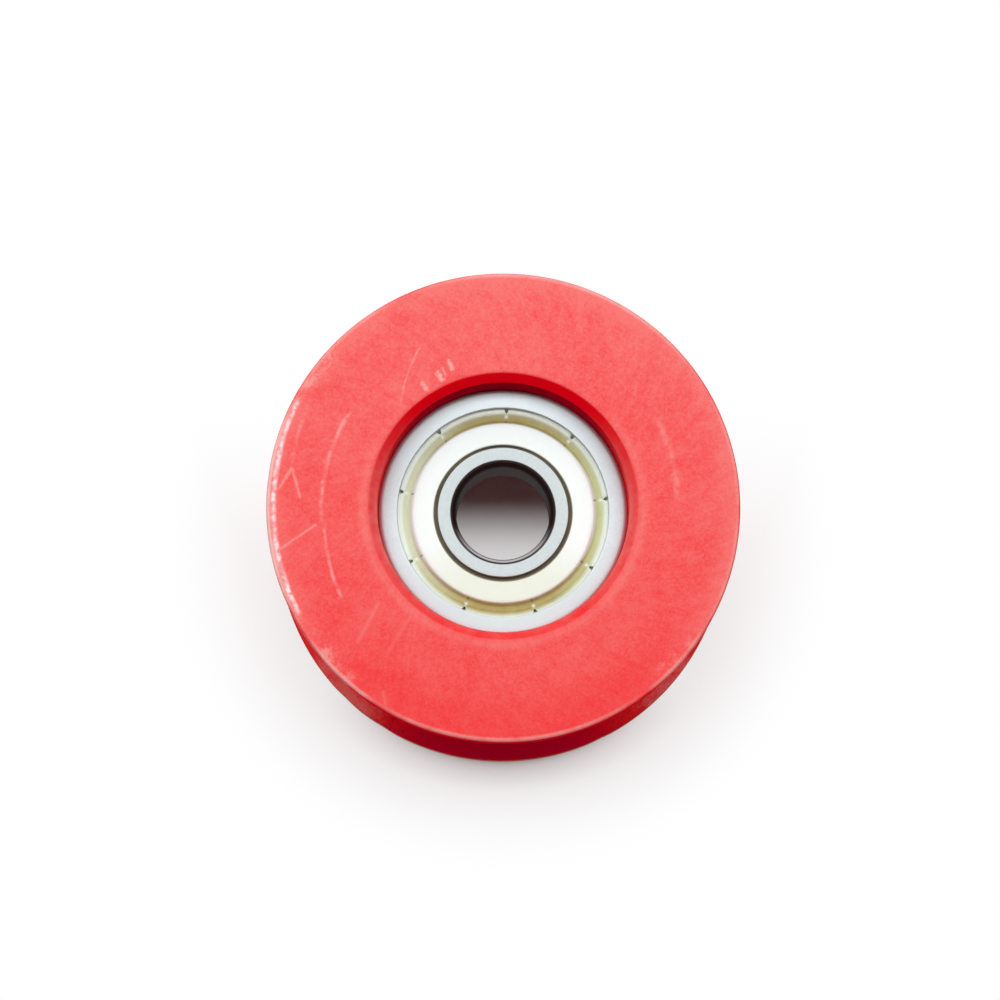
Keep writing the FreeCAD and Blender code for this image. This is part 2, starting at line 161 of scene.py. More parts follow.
def turned_object(name: str, outline: np.ndarray, segments: int,
                  warp: Warp | None = None) -> bpy.types.Object:
    """Turn a closed outline once round the Z axis into a mesh object.

    Formula: point (i, j) is (R cos t, R sin t, Z) with R and Z from outline point i and t from
    segment j; a warp may change R and Z as functions of R, Z and t. Both directions close on
    themselves, so the surface has no seam or pole.

    Args:
        name: Name of the piece.
        outline: (radius, height) pairs in millimetres.
        segments: Number of steps round the axis.
        warp: Optional change of the radius and height arrays.

    Returns:
        The object, linked to the scene.
    """
    turns = np.linspace(0.0, 2.0 * np.pi, segments, endpoint=False)
    radius, angle = np.meshgrid(outline[:, 0], turns, indexing="ij")
    height = np.repeat(outline[:, 1:2], segments, axis=1)
    if warp is not None:
        radius, height = warp(radius, height, angle)
    places = np.stack([radius * np.cos(angle), radius * np.sin(angle), height], axis=-1) * MM
    index = np.arange(radius.size).reshape(radius.shape)
    on, over = np.roll(index, -1, axis=1), np.roll(index, -1, axis=0)
    quads = np.stack([index, on, np.roll(on, -1, axis=0), over], axis=-1).reshape(-1, 4)
    mesh = bpy.data.meshes.new(name)
    mesh.from_pydata(places.reshape(-1, 3).tolist(), [], quads.tolist())
    mesh.polygons.foreach_set("use_smooth", np.ones(len(quads), dtype=bool))
    mesh.update()
    piece = bpy.data.objects.new(name, mesh)
    bpy.context.scene.collection.objects.link(piece)
    return piece


def bump_round(angle: np.ndarray, centre_deg: float, width_deg: float) -> np.ndarray:
    """Give a bell round one angle: exp(-(difference / width) squared), with the difference wrapped."""
    away = np.angle(np.exp(1j * (angle - math.radians(centre_deg))))
    return np.exp(-((away / math.radians(width_deg)) ** 2))


def smooth_step(low: float, high: float, value: np.ndarray) -> np.ndarray:
    """Rise from 0 at low to 1 at high along 3 s squared minus 2 s cubed."""
    share = np.clip((value - low) / (high - low), 0.0, 1.0)
    return share * share * (3.0 - 2.0 * share)


# Shader graphs


class Wire:
    """A value in a shader graph, which plain operators work on."""

    def __init__(self, graph: "Graph", socket: bpy.types.NodeSocket) -> None:
        """Keep the graph and the socket that gives the value."""
        self.graph, self.socket = graph, socket

    def math(self, operation: str, *others: Value) -> "Wire":
        """Apply one of Blender's math operations, with this value first."""
        made = self.graph.node("ShaderNodeMath", self, *others, operation=operation)
        return Wire(self.graph, made.outputs[0])

    def __add__(self, other: Value) -> "Wire":
        """Add a value."""
        return self.math("ADD", other)

    def __sub__(self, other: Value) -> "Wire":
        """Take a value away."""
        return self.math("SUBTRACT", other)

    def __mul__(self, other: Value) -> "Wire":
        """Multiply by a value."""
        return self.math("MULTIPLY", other)

    def __truediv__(self, other: Value) -> "Wire":
        """Divide by a value."""
        return self.math("DIVIDE", other)

    def most(self, other: Value) -> "Wire":
        """Take the larger of two values."""
        return self.math("MAXIMUM", other)

    def less(self, share: float) -> "Wire":
        """Give 1 where this value is 0, and 1 without the share where it is 1."""
        return self * -share + 1.0

    def clamped(self) -> "Wire":
        """Keep the result of the last math operation between 0 and 1."""
        self.socket.node.use_clamp = True
        return self

    def vector(self, operation: str, *others: object) -> "Wire":
        """Apply one of Blender's vector operations, with this vector first.

        Args:
            operation: Blender's name of the operation.
            others: The other vectors, as wires or triples.

        Returns:
            The resulting vector, or the number that a length or a dot product gives.
        """
        made = self.graph.node("ShaderNodeVectorMath", self, *others, operation=operation)
        number = operation in ("LENGTH", "DOT_PRODUCT")
        return Wire(self.graph, made.outputs["Value" if number else "Vector"])

    def rise(self, low: Value, high: Value) -> "Wire":
        """Rise smoothly between two limits.

        Args:
            low: Value at which the result is 0.
            high: Value at which it is 1, above or below the other.

        Returns:
            The result, which stays level beyond the limits.
        """
        ends = (low, high, 0.0, 1.0)
        made = self.graph.node("ShaderNodeMapRange", self, *ends, interpolation_type="SMOOTHSTEP")
        return Wire(self.graph, made.outputs[0])

    def between(self, low: float, high: float, soft: float) -> "Wire":
        """Give 1 between two limits and 0 away from them, with soft ends."""
        return self.rise(low - soft, low + soft) * self.rise(high + soft, high - soft)

    def noise(self, scale: float, detail: float, rough: float) -> "Wire":
        """Give a noise between 0 and 1 over this vector.

        Args:
            scale: Waves for each unit of the vector.
            detail: Number of finer layers.
            rough: Strength of the finer layers.

        Returns:
            The noise.
        """
        made = self.graph.node("ShaderNodeTexNoise", noise_dimensions="3D")
        given = {"Vector": self, "Scale": scale, "Detail": detail, "Roughness": rough}
        for title, value in given.items():
            self.graph.feed(made.inputs[title], value)
        return Wire(self.graph, made.outputs[0])


class Graph:
    """A short way to write the nodes of a material or a node group."""

    def __init__(self, tree: bpy.types.NodeTree) -> None:
        """Keep the tree that the nodes go into."""
        self.tree = tree

    def node(self, kind: str, *values: object, **settings: object) -> bpy.types.Node:
        """Add a node.

        Args:
            kind: Blender's name of the node type.
            values: What its first inputs get, in order.
            settings: Properties to set on it.

        Returns:
            The node.
        """
        made = self.tree.nodes.new(kind)
        for key, value in settings.items():
            setattr(made, key, value)
        for socket, value in zip(made.inputs, values):
            self.feed(socket, value)
        return made

    def feed(self, socket: bpy.types.NodeSocket, value: object) -> None:
        """Link a wire to an input, or set the input's own value.

        Args:
            socket: The input.
            value: A wire or a plain value.
        """
        if isinstance(value, Wire):
            self.tree.links.new(value.socket, socket)
        else:
            socket.default_value = value

    def wires(self, node: bpy.types.Node) -> Wires:
        """Give the wires that leave a node, by name."""
        return {socket.name: Wire(self, socket) for socket in node.outputs if socket.name}

    def combine(self, *parts: Value) -> Wire:
        """Join up to three values into a vector."""
        return Wire(self, self.node("ShaderNodeCombineXYZ", *parts).outputs[0])

    def mix(self, factor: Value, first: object, second: object) -> Wire:
        """Mix two colours.

        Args:
            factor: Share of the second colour.
            first: The first colour, as a wire or a triple.
            second: The second colour, likewise.

        Returns:
            The mixed colour.
        """
        made = self.node("ShaderNodeMix", factor, data_type="RGBA")
        for socket, colour in ((made.inputs[6], first), (made.inputs[7], second)):
            self.feed(socket, colour if isinstance(colour, Wire) else (*colour, 1.0))
        return Wire(self, made.outputs[2])

    def use(self, group: bpy.types.NodeTree, **values: object) -> Wires:
        """Place a node group.

        Args:
            group: The group.
            values: What its inputs get; an underscore in a name stands for a space.

        Returns:
            Its outputs by name.
        """
        made = self.node("ShaderNodeGroup", node_tree=group)
        for key, value in values.items():
            self.feed(made.inputs[key.replace("_", " ")], value)
        return self.wires(made)


def sockets(*numbers: str, vectors: Sequence[str] = ()) -> dict[str, str]:
    """Give the socket types of a group's named numbers and vectors."""
    return {**dict.fromkeys(numbers, "NodeSocketFloat"), **dict.fromkeys(vectors, "NodeSocketVector")}


def make_group(name: str, inputs: dict[str, str], outputs: dict[str, str], rule: Rule) -> bpy.types.NodeTree:
    """Make a shader node group from a rule.

    Args:
        name: Name of the group.
        inputs: Socket type of each input.
        outputs: Socket type of each output.
        rule: Function that turns the inputs into the outputs.

    Returns:
        The group.
    """
    tree = bpy.data.node_groups.new(name, "ShaderNodeTree")
    for direction, listed in (("INPUT", inputs), ("OUTPUT", outputs)):
        for title, kind in listed.items():
            tree.interface.new_socket(name=title, in_out=direction, socket_type=kind)
    graph = Graph(tree)
    end = graph.node("NodeGroupOutput")
    for title, wire in rule(graph.wires(graph.node("NodeGroupInput"))).items():
        graph.feed(end.inputs[title], wire)
    return tree


@dataclass
class Effects:
    """Node groups that several finishes share, each built once; sizes in millimetres, angles in degrees.

    A texture gives a noise's scale, detail and roughness.
    """

    broad: Texture = (0.16, 3.0, 0.55)
    medium: Texture = (0.75, 5.0, 0.62)
    blobs: Texture = (1.7, 2.0, 0.5)
    fine: Texture = (4.5, 3.0, 0.6)
    rings: Texture = (9.0, 4.0, 0.7)
    cloud: Texture = (0.9, 4.0, 0.6)
    streak: Texture = (26.0, 4.0, 0.65)
    streak_slant: float = -1.6
    streak_drift: float = 0.008
    arc_wander: float = 0.2
    arc_fade: float = 4.0
    arc_kept: float = 0.25
    wander_limits: Band = (0.28, 0.62)
    grit_limits: Band = (0.36, 0.58)
    stroke_wander: float = 2.6
    polar: bpy.types.NodeTree = field(init=False)
    blotches: bpy.types.NodeTree = field(init=False)
    streaks: bpy.types.NodeTree = field(init=False)
    turning: bpy.types.NodeTree = field(init=False)
    arc: bpy.types.NodeTree = field(init=False)
    stroke: bpy.types.NodeTree = field(init=False)

    def __post_init__(self) -> None:
        """Build every group."""
        place = sockets(vectors=["Place"])
        self.polar = make_group(
            "place_round_axis", sockets(vectors=["Vector"]),
            sockets("Radius", "Angle", "Right", "Far", "Height", vectors=["Place"]), self._polar)
        self.blotches = make_group(
            "handling_blotches", place, sockets("Broad", "Medium", "Blobs", "Fine"), self._blotches)
        self.streaks = make_group(
            "rubbing_streaks", sockets("Radius", "Angle"), sockets("Streaks"), self._streaks)
        self.turning = make_group(
            "turning_marks", sockets("Radius", "Height") | place, sockets("Rings", "Cloud"), self._turning)
        self.arc = make_group(
            "arc_scratch", sockets("Radius", "Angle", "Wander", "Grit", "Start", "End", "Start Radius",
                                   "Drift", "Width"), sockets("Mask"), self._arc)
        self.stroke = make_group(
            "stroke_scratch", sockets("Wander", "Width", vectors=["Place", "From", "To"]), sockets("Mask"),
            self._stroke)

    def _polar(self, take: Wires) -> Wires:
        """Turn a place in metres into its radius and sides in millimetres and its angle in degrees.

        Args:
            take: The place.

        Returns:
            Its radius, angle, distances to the right, to the far side and upwards, and the scaled place.
        """
        place = take["Vector"].vector("MULTIPLY", (1.0 / MM, 1.0 / MM, 1.0 / MM))
        right, far, height = place.graph.wires(place.graph.node("ShaderNodeSeparateXYZ", place)).values()
        angle = far.math("ARCTAN2", right).math("DEGREES").math("FLOORED_MODULO", FULL_TURN)
        return {"Radius": place.vector("MULTIPLY", FLAT).vector("LENGTH"), "Angle": angle, "Right": right,
                "Far": far, "Height": height, "Place": place}

    def _blotches(self, take: Wires) -> Wires:
        """Give noises of four sizes over a place in millimetres."""
        place = take["Place"]
        return {"Broad": place.noise(*self.broad), "Medium": place.noise(*self.medium),
                "Blobs": place.noise(*self.blobs), "Fine": place.noise(*self.fine)}

    def _streaks(self, take: Wires) -> Wires:
        """Give fine strokes that run outwards on a slant: noise round a circle, turned with the radius.

        Args:
            take: The radius and the angle.

        Returns:
            The streaks.
        """
        radius = take["Radius"]
        turn = (radius * self.streak_slant + take["Angle"]).math("RADIANS")
        drift = radius * self.streak_drift
        circle = radius.graph.combine(turn.math("COSINE"), turn.math("SINE"), drift)
        return {"Streaks": circle.noise(*self.streak)}

    def _turning(self, take: Wires) -> Wires:
        """Give fine rings round the axis, as a grinding wheel or a press tool leaves them, and clouds."""
        section = take["Radius"].graph.combine(take["Radius"], take["Height"])
        return {"Rings": section.noise(*self.rings), "Cloud": take["Place"].noise(*self.cloud)}

    def _arc(self, take: Wires) -> Wires:
        """Mark an arc round the axis, a scratch or a painted glint, between two angles, its radius drifting on
        the way.

        Args:
            take: The place, two noises, and where the arc starts, ends, drifts and how wide it is.

        Returns:
            The mask.
        """
        angle, start, end = take["Angle"], take["Start"], take["End"]
        track = (angle - start) * take["Drift"] + take["Start Radius"]
        track = track + (take["Wander"] * self.arc_wander - self.arc_wander / 2)
        thin = (take["Radius"] - track).math("ABSOLUTE").rise(take["Width"], 0.0)
        ends = angle.rise(start, start + self.arc_fade) * angle.rise(end, end - self.arc_fade)
        broken = take["Wander"].rise(*self.wander_limits) * take["Grit"].rise(*self.grit_limits)
        return {"Mask": ends * thin * (broken * (1.0 - self.arc_kept) + self.arc_kept)}

    def _stroke(self, take: Wires) -> Wires:
        """Mark a straight scratch or chip by the distance from the line between two places.

        Args:
            take: The place, a noise, the line's two ends and its width.

        Returns:
            The mask.
        """
        run = take["To"].vector("SUBTRACT", take["From"])
        offset = take["Place"].vector("MULTIPLY", FLAT).vector("SUBTRACT", take["From"])
        share = (offset.vector("DOT_PRODUCT", run) / run.vector("DOT_PRODUCT", run)).clamped()
        away = offset.vector("SUBTRACT", run.vector("MULTIPLY", share)).vector("LENGTH")
        ragged = take["Wander"] * self.stroke_wander - self.stroke_wander / 2
        return {"Mask": (away + ragged * take["Width"]).rise(take["Width"], 0.0)}


@dataclass(frozen=True)
class Ground:
    """What the masks of a material read at each point: its place, in millimetres and degrees.

    The level is the height without its sign, and across goes from -1 on the near side to 1 on the far side.
    """

    graph: Graph
    effects: Effects
    radius: Wire
    angle: Wire
    right: Wire
    far: Wire
    height: Wire
    place: Wire
    level: Wire
    across: Wire

    @classmethod
    def under(cls, graph: Graph, effects: Effects) -> "Ground":
        """Place the group that reads the Object coordinates.

        Args:
            graph: Graph of the material.
            effects: The shared node groups.

        Returns:
            The places that masks read.
        """
        coordinates = graph.wires(graph.node("ShaderNodeTexCoord"))
        polar = graph.use(effects.polar, Vector=coordinates["Object"])
        places = {title.lower(): wire for title, wire in polar.items()}
        level, across = polar["Height"].math("ABSOLUTE"), polar["Far"] / polar["Radius"]
        return cls(graph, effects, **places, level=level, across=across)

    @cached_property
    def turning(self) -> Wires:
        """The turning marks."""
        return self.graph.use(self.effects.turning, Radius=self.radius, Height=self.height, Place=self.place)

    @cached_property
    def spots(self) -> Wires:
        """The blotches and rubbing streaks."""
        streaks = self.graph.use(self.effects.streaks, Radius=self.radius, Angle=self.angle)
        return self.graph.use(self.effects.blotches, Place=self.place) | streaks


def new_material(name: str) -> tuple[bpy.types.Material, Graph, bpy.types.Node]:
    """Start a material with one Principled shader.

    Args:
        name: Name of the material.

    Returns:
        The material, its graph and the shader node.
    """
    material = bpy.data.materials.new(name)
    material.use_nodes = True
    shader = next(n for n in material.node_tree.nodes if n.type == "BSDF_PRINCIPLED")
    return material, Graph(material.node_tree), shader


def give_bump(shader: bpy.types.Node, height: Wire, strength: float, distance: float) -> None:
    """Feed a shader's normal from a height.

    Args:
        shader: The Principled shader.
        height: Height between 0 and 1.
        strength: Strength of the bump.
        distance: Height of the bump in millimetres.
    """
    graph = height.graph
    bump = graph.node("ShaderNodeBump")
    for title, value in {"Strength": strength, "Distance": distance * MM, "Height": height}.items():
        graph.feed(bump.inputs[title], value)
    graph.feed(shader.inputs["Normal"], Wire(graph, bump.outputs[0]))


# Finishes


@dataclass(frozen=True)
class ArcMark:
    """A mark round the axis, a scratch or a painted glint: angles in degrees, radii and width in millimetres.
    """

    start: float
    end: float
    radius: float
    end_radius: float
    width: float
    strength: float = 0.5

    def mask(self, ground: Ground) -> Wire:
        """Mark the arc, broken up by noise.

        Args:
            ground: What masks read.

        Returns:
            The mask.
        """
        spots = ground.spots
        drift = (self.end_radius - self.radius) / (self.end - self.start)
        placed = ground.graph.use(
            ground.effects.arc, Radius=ground.radius, Angle=ground.angle, Wander=spots["Medium"],
            Grit=spots["Blobs"], Start=self.start, End=self.end, Start_Radius=self.radius, Drift=drift,
            Width=self.width)
        return placed["Mask"] * self.strength


@dataclass(frozen=True)
class StrokeMark:
    """A straight scratch or chip between two places on the face, in millimetres."""

    start: tuple[float, float]
    end: tuple[float, float]
    width: float
    strength: float = 0.5

    def mask(self, ground: Ground) -> Wire:
        """Mark the scratch with a ragged edge."""
        placed = ground.graph.use(
            ground.effects.stroke, Place=ground.place, Wander=ground.spots["Fine"], From=(*self.start, 0.0),
            To=(*self.end, 0.0), Width=self.width)
        return placed["Mask"] * self.strength


@dataclass(frozen=True)
class RimStretch:
    """A stretch round the axis, for wear, grime or painted side light: its middle and half length in degrees,
    and its strength.

    The core is the share of its length at full strength.
    """

    middle: float
    half: float
    strength: float
    core: float = 0.7

    def mask(self, ground: Ground) -> Wire:
        """Mark the stretch, which fades out at both ends.

        Args:
            ground: What masks read.

        Returns:
            The mask.
        """
        reach = self.core * self.half
        placed = ground.angle.between(self.middle - reach, self.middle + reach, self.half - reach)
        return placed * self.strength


def strongest(marks: Sequence[ArcMark | StrokeMark | RimStretch], ground: Ground) -> Wire:
    """Take the strongest of several marks at each point."""
    return reduce(Wire.most, [mark.mask(ground) for mark in marks])


@dataclass(frozen=True)
class NoiseMix:
    """How much of each noise goes into a mask, and what is added to their sum."""

    broad: float = 0.0
    medium: float = 0.0
    blobs: float = 0.0
    fine: float = 0.0
    streaks: float = 0.0
    offset: float = 0.0

    def on(self, ground: Ground) -> Wire:
        """Add up the noises.

        Args:
            ground: What masks read.

        Returns:
            Their weighted sum.
        """
        total: Value = self.offset
        for title, wire in ground.spots.items():
            share = getattr(self, title.lower())
            if share:
                total = wire * share + total
        return total


@dataclass(frozen=True)
class MouldedRed:
    """Red moulded plastic: hazy and with scratches on its faces and rims, with painted shade on the near side
    of the groove and on the far wall of the recess, painted sheen on its faces and mouth, painted side light on
    the lower rims and painted glints on the left rim.

    A band gives the millimetres over which a mask rises, counted outwards from the rim or the mouth, or
    upwards from a face. A span gives shares of a radius, from -1 on the near side to 1 on the far side.
    Limits give the noise values between which a mask rises.
    """

    face_height: float
    rim_radius: float
    mouth_radius: float

    deep: Colour = (0.93, 0.001, 0.010)
    # painted shade: a darker red on the near side of the groove, under the upper flange
    groove: Colour = (0.66, 0.001, 0.030)
    # painted shade on the far wall of the recess
    shaded: Colour = (0.50, 0.001, 0.020)
    rubbed: Colour = (0.95, 0.060, 0.060)
    # hazing and painted sheen: a paler red where the faces are scuffed and where they catch the light
    haze_and_sheen_tone: Colour = (0.95, 0.190, 0.177)
    browned: Colour = (0.80, 0.26, 0.11)
    soiled: Colour = (0.42, 0.010, 0.010)
    # wear and painted light: worn edges, scratches, a painted highlight along the rim edge and painted side
    # light on the flanks
    wear_and_light_tone: Colour = (0.96, 0.50, 0.47)
    # painted glints: white where the left rim edge catches the light
    glint_white: Colour = (0.97, 0.93, 0.94)

    roughness_mix: NoiseMix = NoiseMix(medium=0.12, offset=0.46)
    haze_roughness: float = 0.12
    mark_roughness: float = 0.15
    coat_roughness: float = 0.5
    coat: float = 0.01
    face_coat: float = 0.08
    refraction: float = 1.5
    grain_mix: NoiseMix = NoiseMix(fine=0.5, streaks=0.3)
    grain_polish: float = 0.4
    grain_marks: float = 0.5
    grain_strength: float = 0.4
    grain_depth: float = 0.05

    face_band: Band = (-0.12, -0.01)
    top_band: Band = (-0.4, -0.1)
    groove_band: Band = (-1.2, -2.6)
    groove_start: Band = (0.0, 1.0)
    groove_shade_span: Band = (-0.78, -0.97)
    polish_span: Band = (-0.95, -0.70)
    polish_rings: float = 0.4
    polish_mix: NoiseMix = NoiseMix(medium=0.6)
    recess_band: Band = (-0.85, -1.1)
    recess_start: Band = (-0.5, -0.7)
    recess_shade_span: Band = (0.1, 0.75)

    haze_mix: NoiseMix = NoiseMix(broad=0.55, medium=0.60, fine=1.0, streaks=0.45, offset=-0.60)
    # painted sheen: the hazing on the faces grows from the near side to the far side
    near_hazing_and_sheen: float = 0.69
    far_hazing_and_sheen: float = 1.08
    # painted sheen: less of it near the rim on the near side
    sheen_dip_band: Band = (-6.0, -1.5)
    sheen_dip_span: Band = (-0.4, -0.8)
    sheen_dip_loss: float = 0.20
    rubbed_band: Band = (-2.4, 0.0)
    rubbed_span: Band = (-0.98, -0.45)
    rubbed_haze: float = 0.28
    # painted highlight on the rounded edge round the mouth, on its near half
    collar_band: Band = (0.15, 0.8)
    collar_soft: float = 0.45
    collar_highlight_share: float = 0.30
    # painted light: a paler red on the lit near side of the mouth cone, less in its shadowed near part and near
    # its top
    mouth_band: Band = (-4.4, -1.0)
    mouth_start: Band = (0.1, -0.1)
    mouth_span: Band = (0.8, -0.1556)
    mouth_sheen_share: float = 1.7
    shadow_span: Band = (-0.3, -0.8)
    shadow_loss: float = 0.42
    lip_band: Band = (-1.0, -0.4)
    lip_loss: float = 0.30

    flange_heights: Band = (2.0, 4.0)
    edge_band: Band = (-0.53, -0.20)
    edge_drop: Band = (-0.32, -0.12)
    edge_mix: NoiseMix = NoiseMix(medium=1.5, fine=0.7, offset=-0.1)
    patch_band: Band = (-1.7, -0.5)
    patch_mix: NoiseMix = NoiseMix(medium=1.0, fine=0.4)
    patch_limits: Band = (0.66, 0.86)
    # noise that breaks up the painted side light
    side_light_mix: NoiseMix = NoiseMix(medium=1.0, fine=0.8, offset=-0.7)
    side_light_limits: Band = (0.45, 1.0)
    flank_band: Band = (-2.2, -0.4)
    flank_light_share: float = 0.28
    wall_band: Band = (-0.12, -0.03)
    wall_light_share: float = 0.45
    brown_drop: Band = (2.0, 0.8)
    brown_band: Band = (-0.5, -0.1)
    brown_mix: NoiseMix = NoiseMix(medium=1.0, fine=0.7)
    brown_limits: Band = (0.45, 0.95)
    speck_band: Band = (-3.0, -2.0)
    speck_mix: NoiseMix = NoiseMix(blobs=1.0, fine=0.7)
    speck_limits: Band = (0.86, 1.04)

    # worn rim edge with a painted highlight along it, strongest on the left
    edge_wear_and_highlight: tuple[RimStretch, ...] = (
        RimStretch(181.0, 34.0, 1.0),
        RimStretch(226.0, 14.0, 0.62),
        RimStretch(270.0, 42.0, 0.46),
        RimStretch(318.0, 12.0, 0.50),
        RimStretch(134.0, 20.0, 0.40),
        RimStretch(72.0, 46.0, 0.52),
        RimStretch(13.0, 18.0, 0.28),
        RimStretch(344.0, 18.0, 0.28),
    )
    face_scuffs: tuple[RimStretch, ...] = (
        RimStretch(143.0, 12.0, 0.42),
        RimStretch(222.0, 10.0, 0.42),
        RimStretch(318.0, 8.0, 0.35),
    )
    # painted side light on the lower flank and the upper land at the lower left and right
    flank_side_light: tuple[RimStretch, ...] = (RimStretch(226.0, 18.0, 0.66), RimStretch(317.0, 15.0, 0.56))
    wall_side_light: tuple[RimStretch, ...] = (RimStretch(214.0, 26.0, 0.60), RimStretch(324.0, 22.0, 0.52))
    grimed: tuple[RimStretch, ...] = (RimStretch(242.0, 11.0, 0.75), RimStretch(304.0, 8.0, 0.40))
    marks: tuple[ArcMark | StrokeMark, ...] = (
        ArcMark(146.0, 187.0, 17.1, 17.3, 0.34, 0.50),
        ArcMark(184.0, 212.0, 17.0, 17.7, 0.28, 0.50),
        ArcMark(0.5, 32.0, 16.5, 16.8, 0.55, 0.26),
        ArcMark(116.0, 136.0, 17.5, 13.6, 0.22, 0.48),
        ArcMark(150.0, 170.0, 20.9, 20.5, 0.34, 0.26),
        StrokeMark((-4.9, 13.2), (-5.2, 13.9), 0.34, 0.70),
        StrokeMark((-5.5, 12.5), (-5.8, 13.2), 0.22, 0.42),
        StrokeMark((-5.9, 12.2), (-6.2, 12.7), 0.42, 0.80),
        StrokeMark((-7.3, 11.2), (-7.7, 11.8), 0.34, 0.62),
        StrokeMark((-21.3, 1.6), (-20.1, 3.5), 0.24, 0.40),
        StrokeMark((-20.0, 3.4), (-19.3, 0.8), 0.22, 0.38),
        StrokeMark((-21.1, -4.2), (-17.8, -1.9), 0.20, 0.38),
        StrokeMark((-11.8, -9.4), (-13.7, -13.0), 0.28, 0.14),
        StrokeMark((-11.3, -17.8), (-11.0, -19.6), 0.26, 0.13),
        StrokeMark((-8.8, -10.7), (-11.1, -14.4), 0.26, 0.08),
    )
    # painted glints along the left rim edge
    painted_glints: tuple[ArcMark, ...] = (
        ArcMark(151.0, 172.0, 21.94, 21.84, 0.34, 0.90),
        ArcMark(164.0, 194.0, 21.80, 21.80, 0.38, 1.0),
        ArcMark(186.0, 210.0, 21.80, 21.88, 0.38, 1.0),
    )

    def material(self, effects: Effects) -> bpy.types.Material:
        """Build the material: a deep red with layers of other tones, each shown by its mask.

        Args:
            effects: The shared node groups.

        Returns:
            The finished material.
        """
        material, graph, shader = new_material("moulded_red_plastic")
        ground = Ground.under(graph, effects)
        above, past_mouth = ground.level - self.face_height, ground.radius - self.mouth_radius
        face = above.rise(*self.face_band)
        on_top = (ground.height - self.face_height).rise(*self.top_band)
        groove = above.rise(*self.groove_band) * past_mouth.rise(*self.groove_start)
        polish = ground.turning["Rings"] * self.polish_rings + self.polish_mix.on(ground)
        polish = polish * groove * ground.across.rise(*self.polish_span)
        # the recess wall, darkened on its far side by painted shade
        recess = above.rise(*self.recess_band) * past_mouth.rise(*self.recess_start)
        haze_and_sheen = self._haze_and_sheen(ground)
        marks = strongest(self.marks, ground) * face * on_top
        # painted glints on the upper rim
        painted_glints = strongest(self.painted_glints, ground) * on_top
        layers = (
            # painted shade: darker red on the near side of the groove and on the far wall of the recess
            (groove * ground.across.rise(*self.groove_shade_span), self.groove),
            (recess * ground.across.rise(*self.recess_shade_span), self.shaded),
            (polish, self.rubbed),
            (haze_and_sheen, self.haze_and_sheen_tone),
            (self._browned_edge(ground), self.browned),
            (self._grime(ground), self.soiled),
            (self._wear_and_painted_light(ground).most(marks), self.wear_and_light_tone),
            (painted_glints, self.glint_white),
        )
        tone: object = self.deep
        for mask, colour in layers:
            tone = graph.mix(mask, tone, colour)
        rough = haze_and_sheen * self.haze_roughness + self.roughness_mix.on(ground) + marks * self.mark_roughness
        fed = {"Base Color": tone, "Roughness": rough.clamped(), "IOR": self.refraction,
               "Specular IOR Level": 0.0, "Coat Roughness": self.coat_roughness,
               "Coat Weight": face * self.face_coat + self.coat}
        for title, value in fed.items():
            graph.feed(shader.inputs[title], value)
        grain = self.grain_mix.on(ground) + polish * self.grain_polish + marks * self.grain_marks
        give_bump(shader, grain, self.grain_strength, self.grain_depth)
        return material

    def _haze_and_sheen(self, ground: Ground) -> Wire:
        """Work out where the plastic is hazy and where sheen is painted: the faces, more towards the far side
        as painted sheen, a painted highlight round the mouth, and painted light in the mouth a little.

        Args:
            ground: What masks read.

        Returns:
            A mask of the hazing, painted sheen and painted light.
        """
        above, past_rim = ground.level - self.face_height, ground.radius - self.rim_radius
        past_mouth = ground.radius - self.mouth_radius
        over_wheel, over_mouth = ground.far / self.rim_radius, ground.far / self.mouth_radius
        # painted sheen: stronger hazing towards the far side
        side_hazing_and_sheen = over_wheel.rise(-1.0, 1.0) * (self.far_hazing_and_sheen - self.near_hazing_and_sheen) + self.near_hazing_and_sheen
        # painted sheen taken away near the rim on the near side
        near_sheen_dip = past_rim.rise(*self.sheen_dip_band) * over_wheel.rise(*self.sheen_dip_span)
        side_hazing_and_sheen = side_hazing_and_sheen - near_sheen_dip * self.sheen_dip_loss
        rubbed = past_rim.rise(*self.rubbed_band) * over_wheel.rise(*self.rubbed_span)
        # painted highlight round the mouth
        collar_highlight = past_mouth.between(*self.collar_band, self.collar_soft) * over_mouth.rise(1.0, 0.0)
        shore = rubbed * self.rubbed_haze + collar_highlight * self.collar_highlight_share
        on_face = (self.haze_mix.on(ground) * side_hazing_and_sheen + shore) * above.rise(*self.face_band)
        # painted light on the near side of the mouth cone
        mouth_sheen = above.rise(*self.mouth_band) * past_mouth.rise(*self.mouth_start)
        mouth_sheen = mouth_sheen * over_mouth.rise(*self.mouth_span)
        mouth_sheen = mouth_sheen * over_mouth.rise(*self.shadow_span).less(self.shadow_loss)
        mouth_sheen = mouth_sheen * above.rise(*self.lip_band).less(self.lip_loss)
        return (mouth_sheen * ground.spots["Medium"] * self.mouth_sheen_share + on_face).clamped()

    def _wear_and_painted_light(self, ground: Ground) -> Wire:
        """Work out where the rims are pale: the upper edge, worn and with a painted highlight; patches of the
        face, worn; and painted side light on the upper land and the lower flank.

        Args:
            ground: What masks read.

        Returns:
            A mask of the pale places.
        """
        above, past_rim = ground.level - self.face_height, ground.radius - self.rim_radius
        upper = ground.height.rise(*self.flange_heights)
        # the rim edge: worn, with a painted highlight along its upper fillet
        edge = past_rim.rise(*self.edge_band) * above.rise(*self.edge_drop) * upper
        edge = edge * strongest(self.edge_wear_and_highlight, ground) * self.edge_mix.on(ground)
        patch = past_rim.rise(*self.patch_band) * above.rise(*self.top_band) * upper
        patch = patch * strongest(self.face_scuffs, ground)
        patch = patch * self.patch_mix.on(ground).rise(*self.patch_limits)
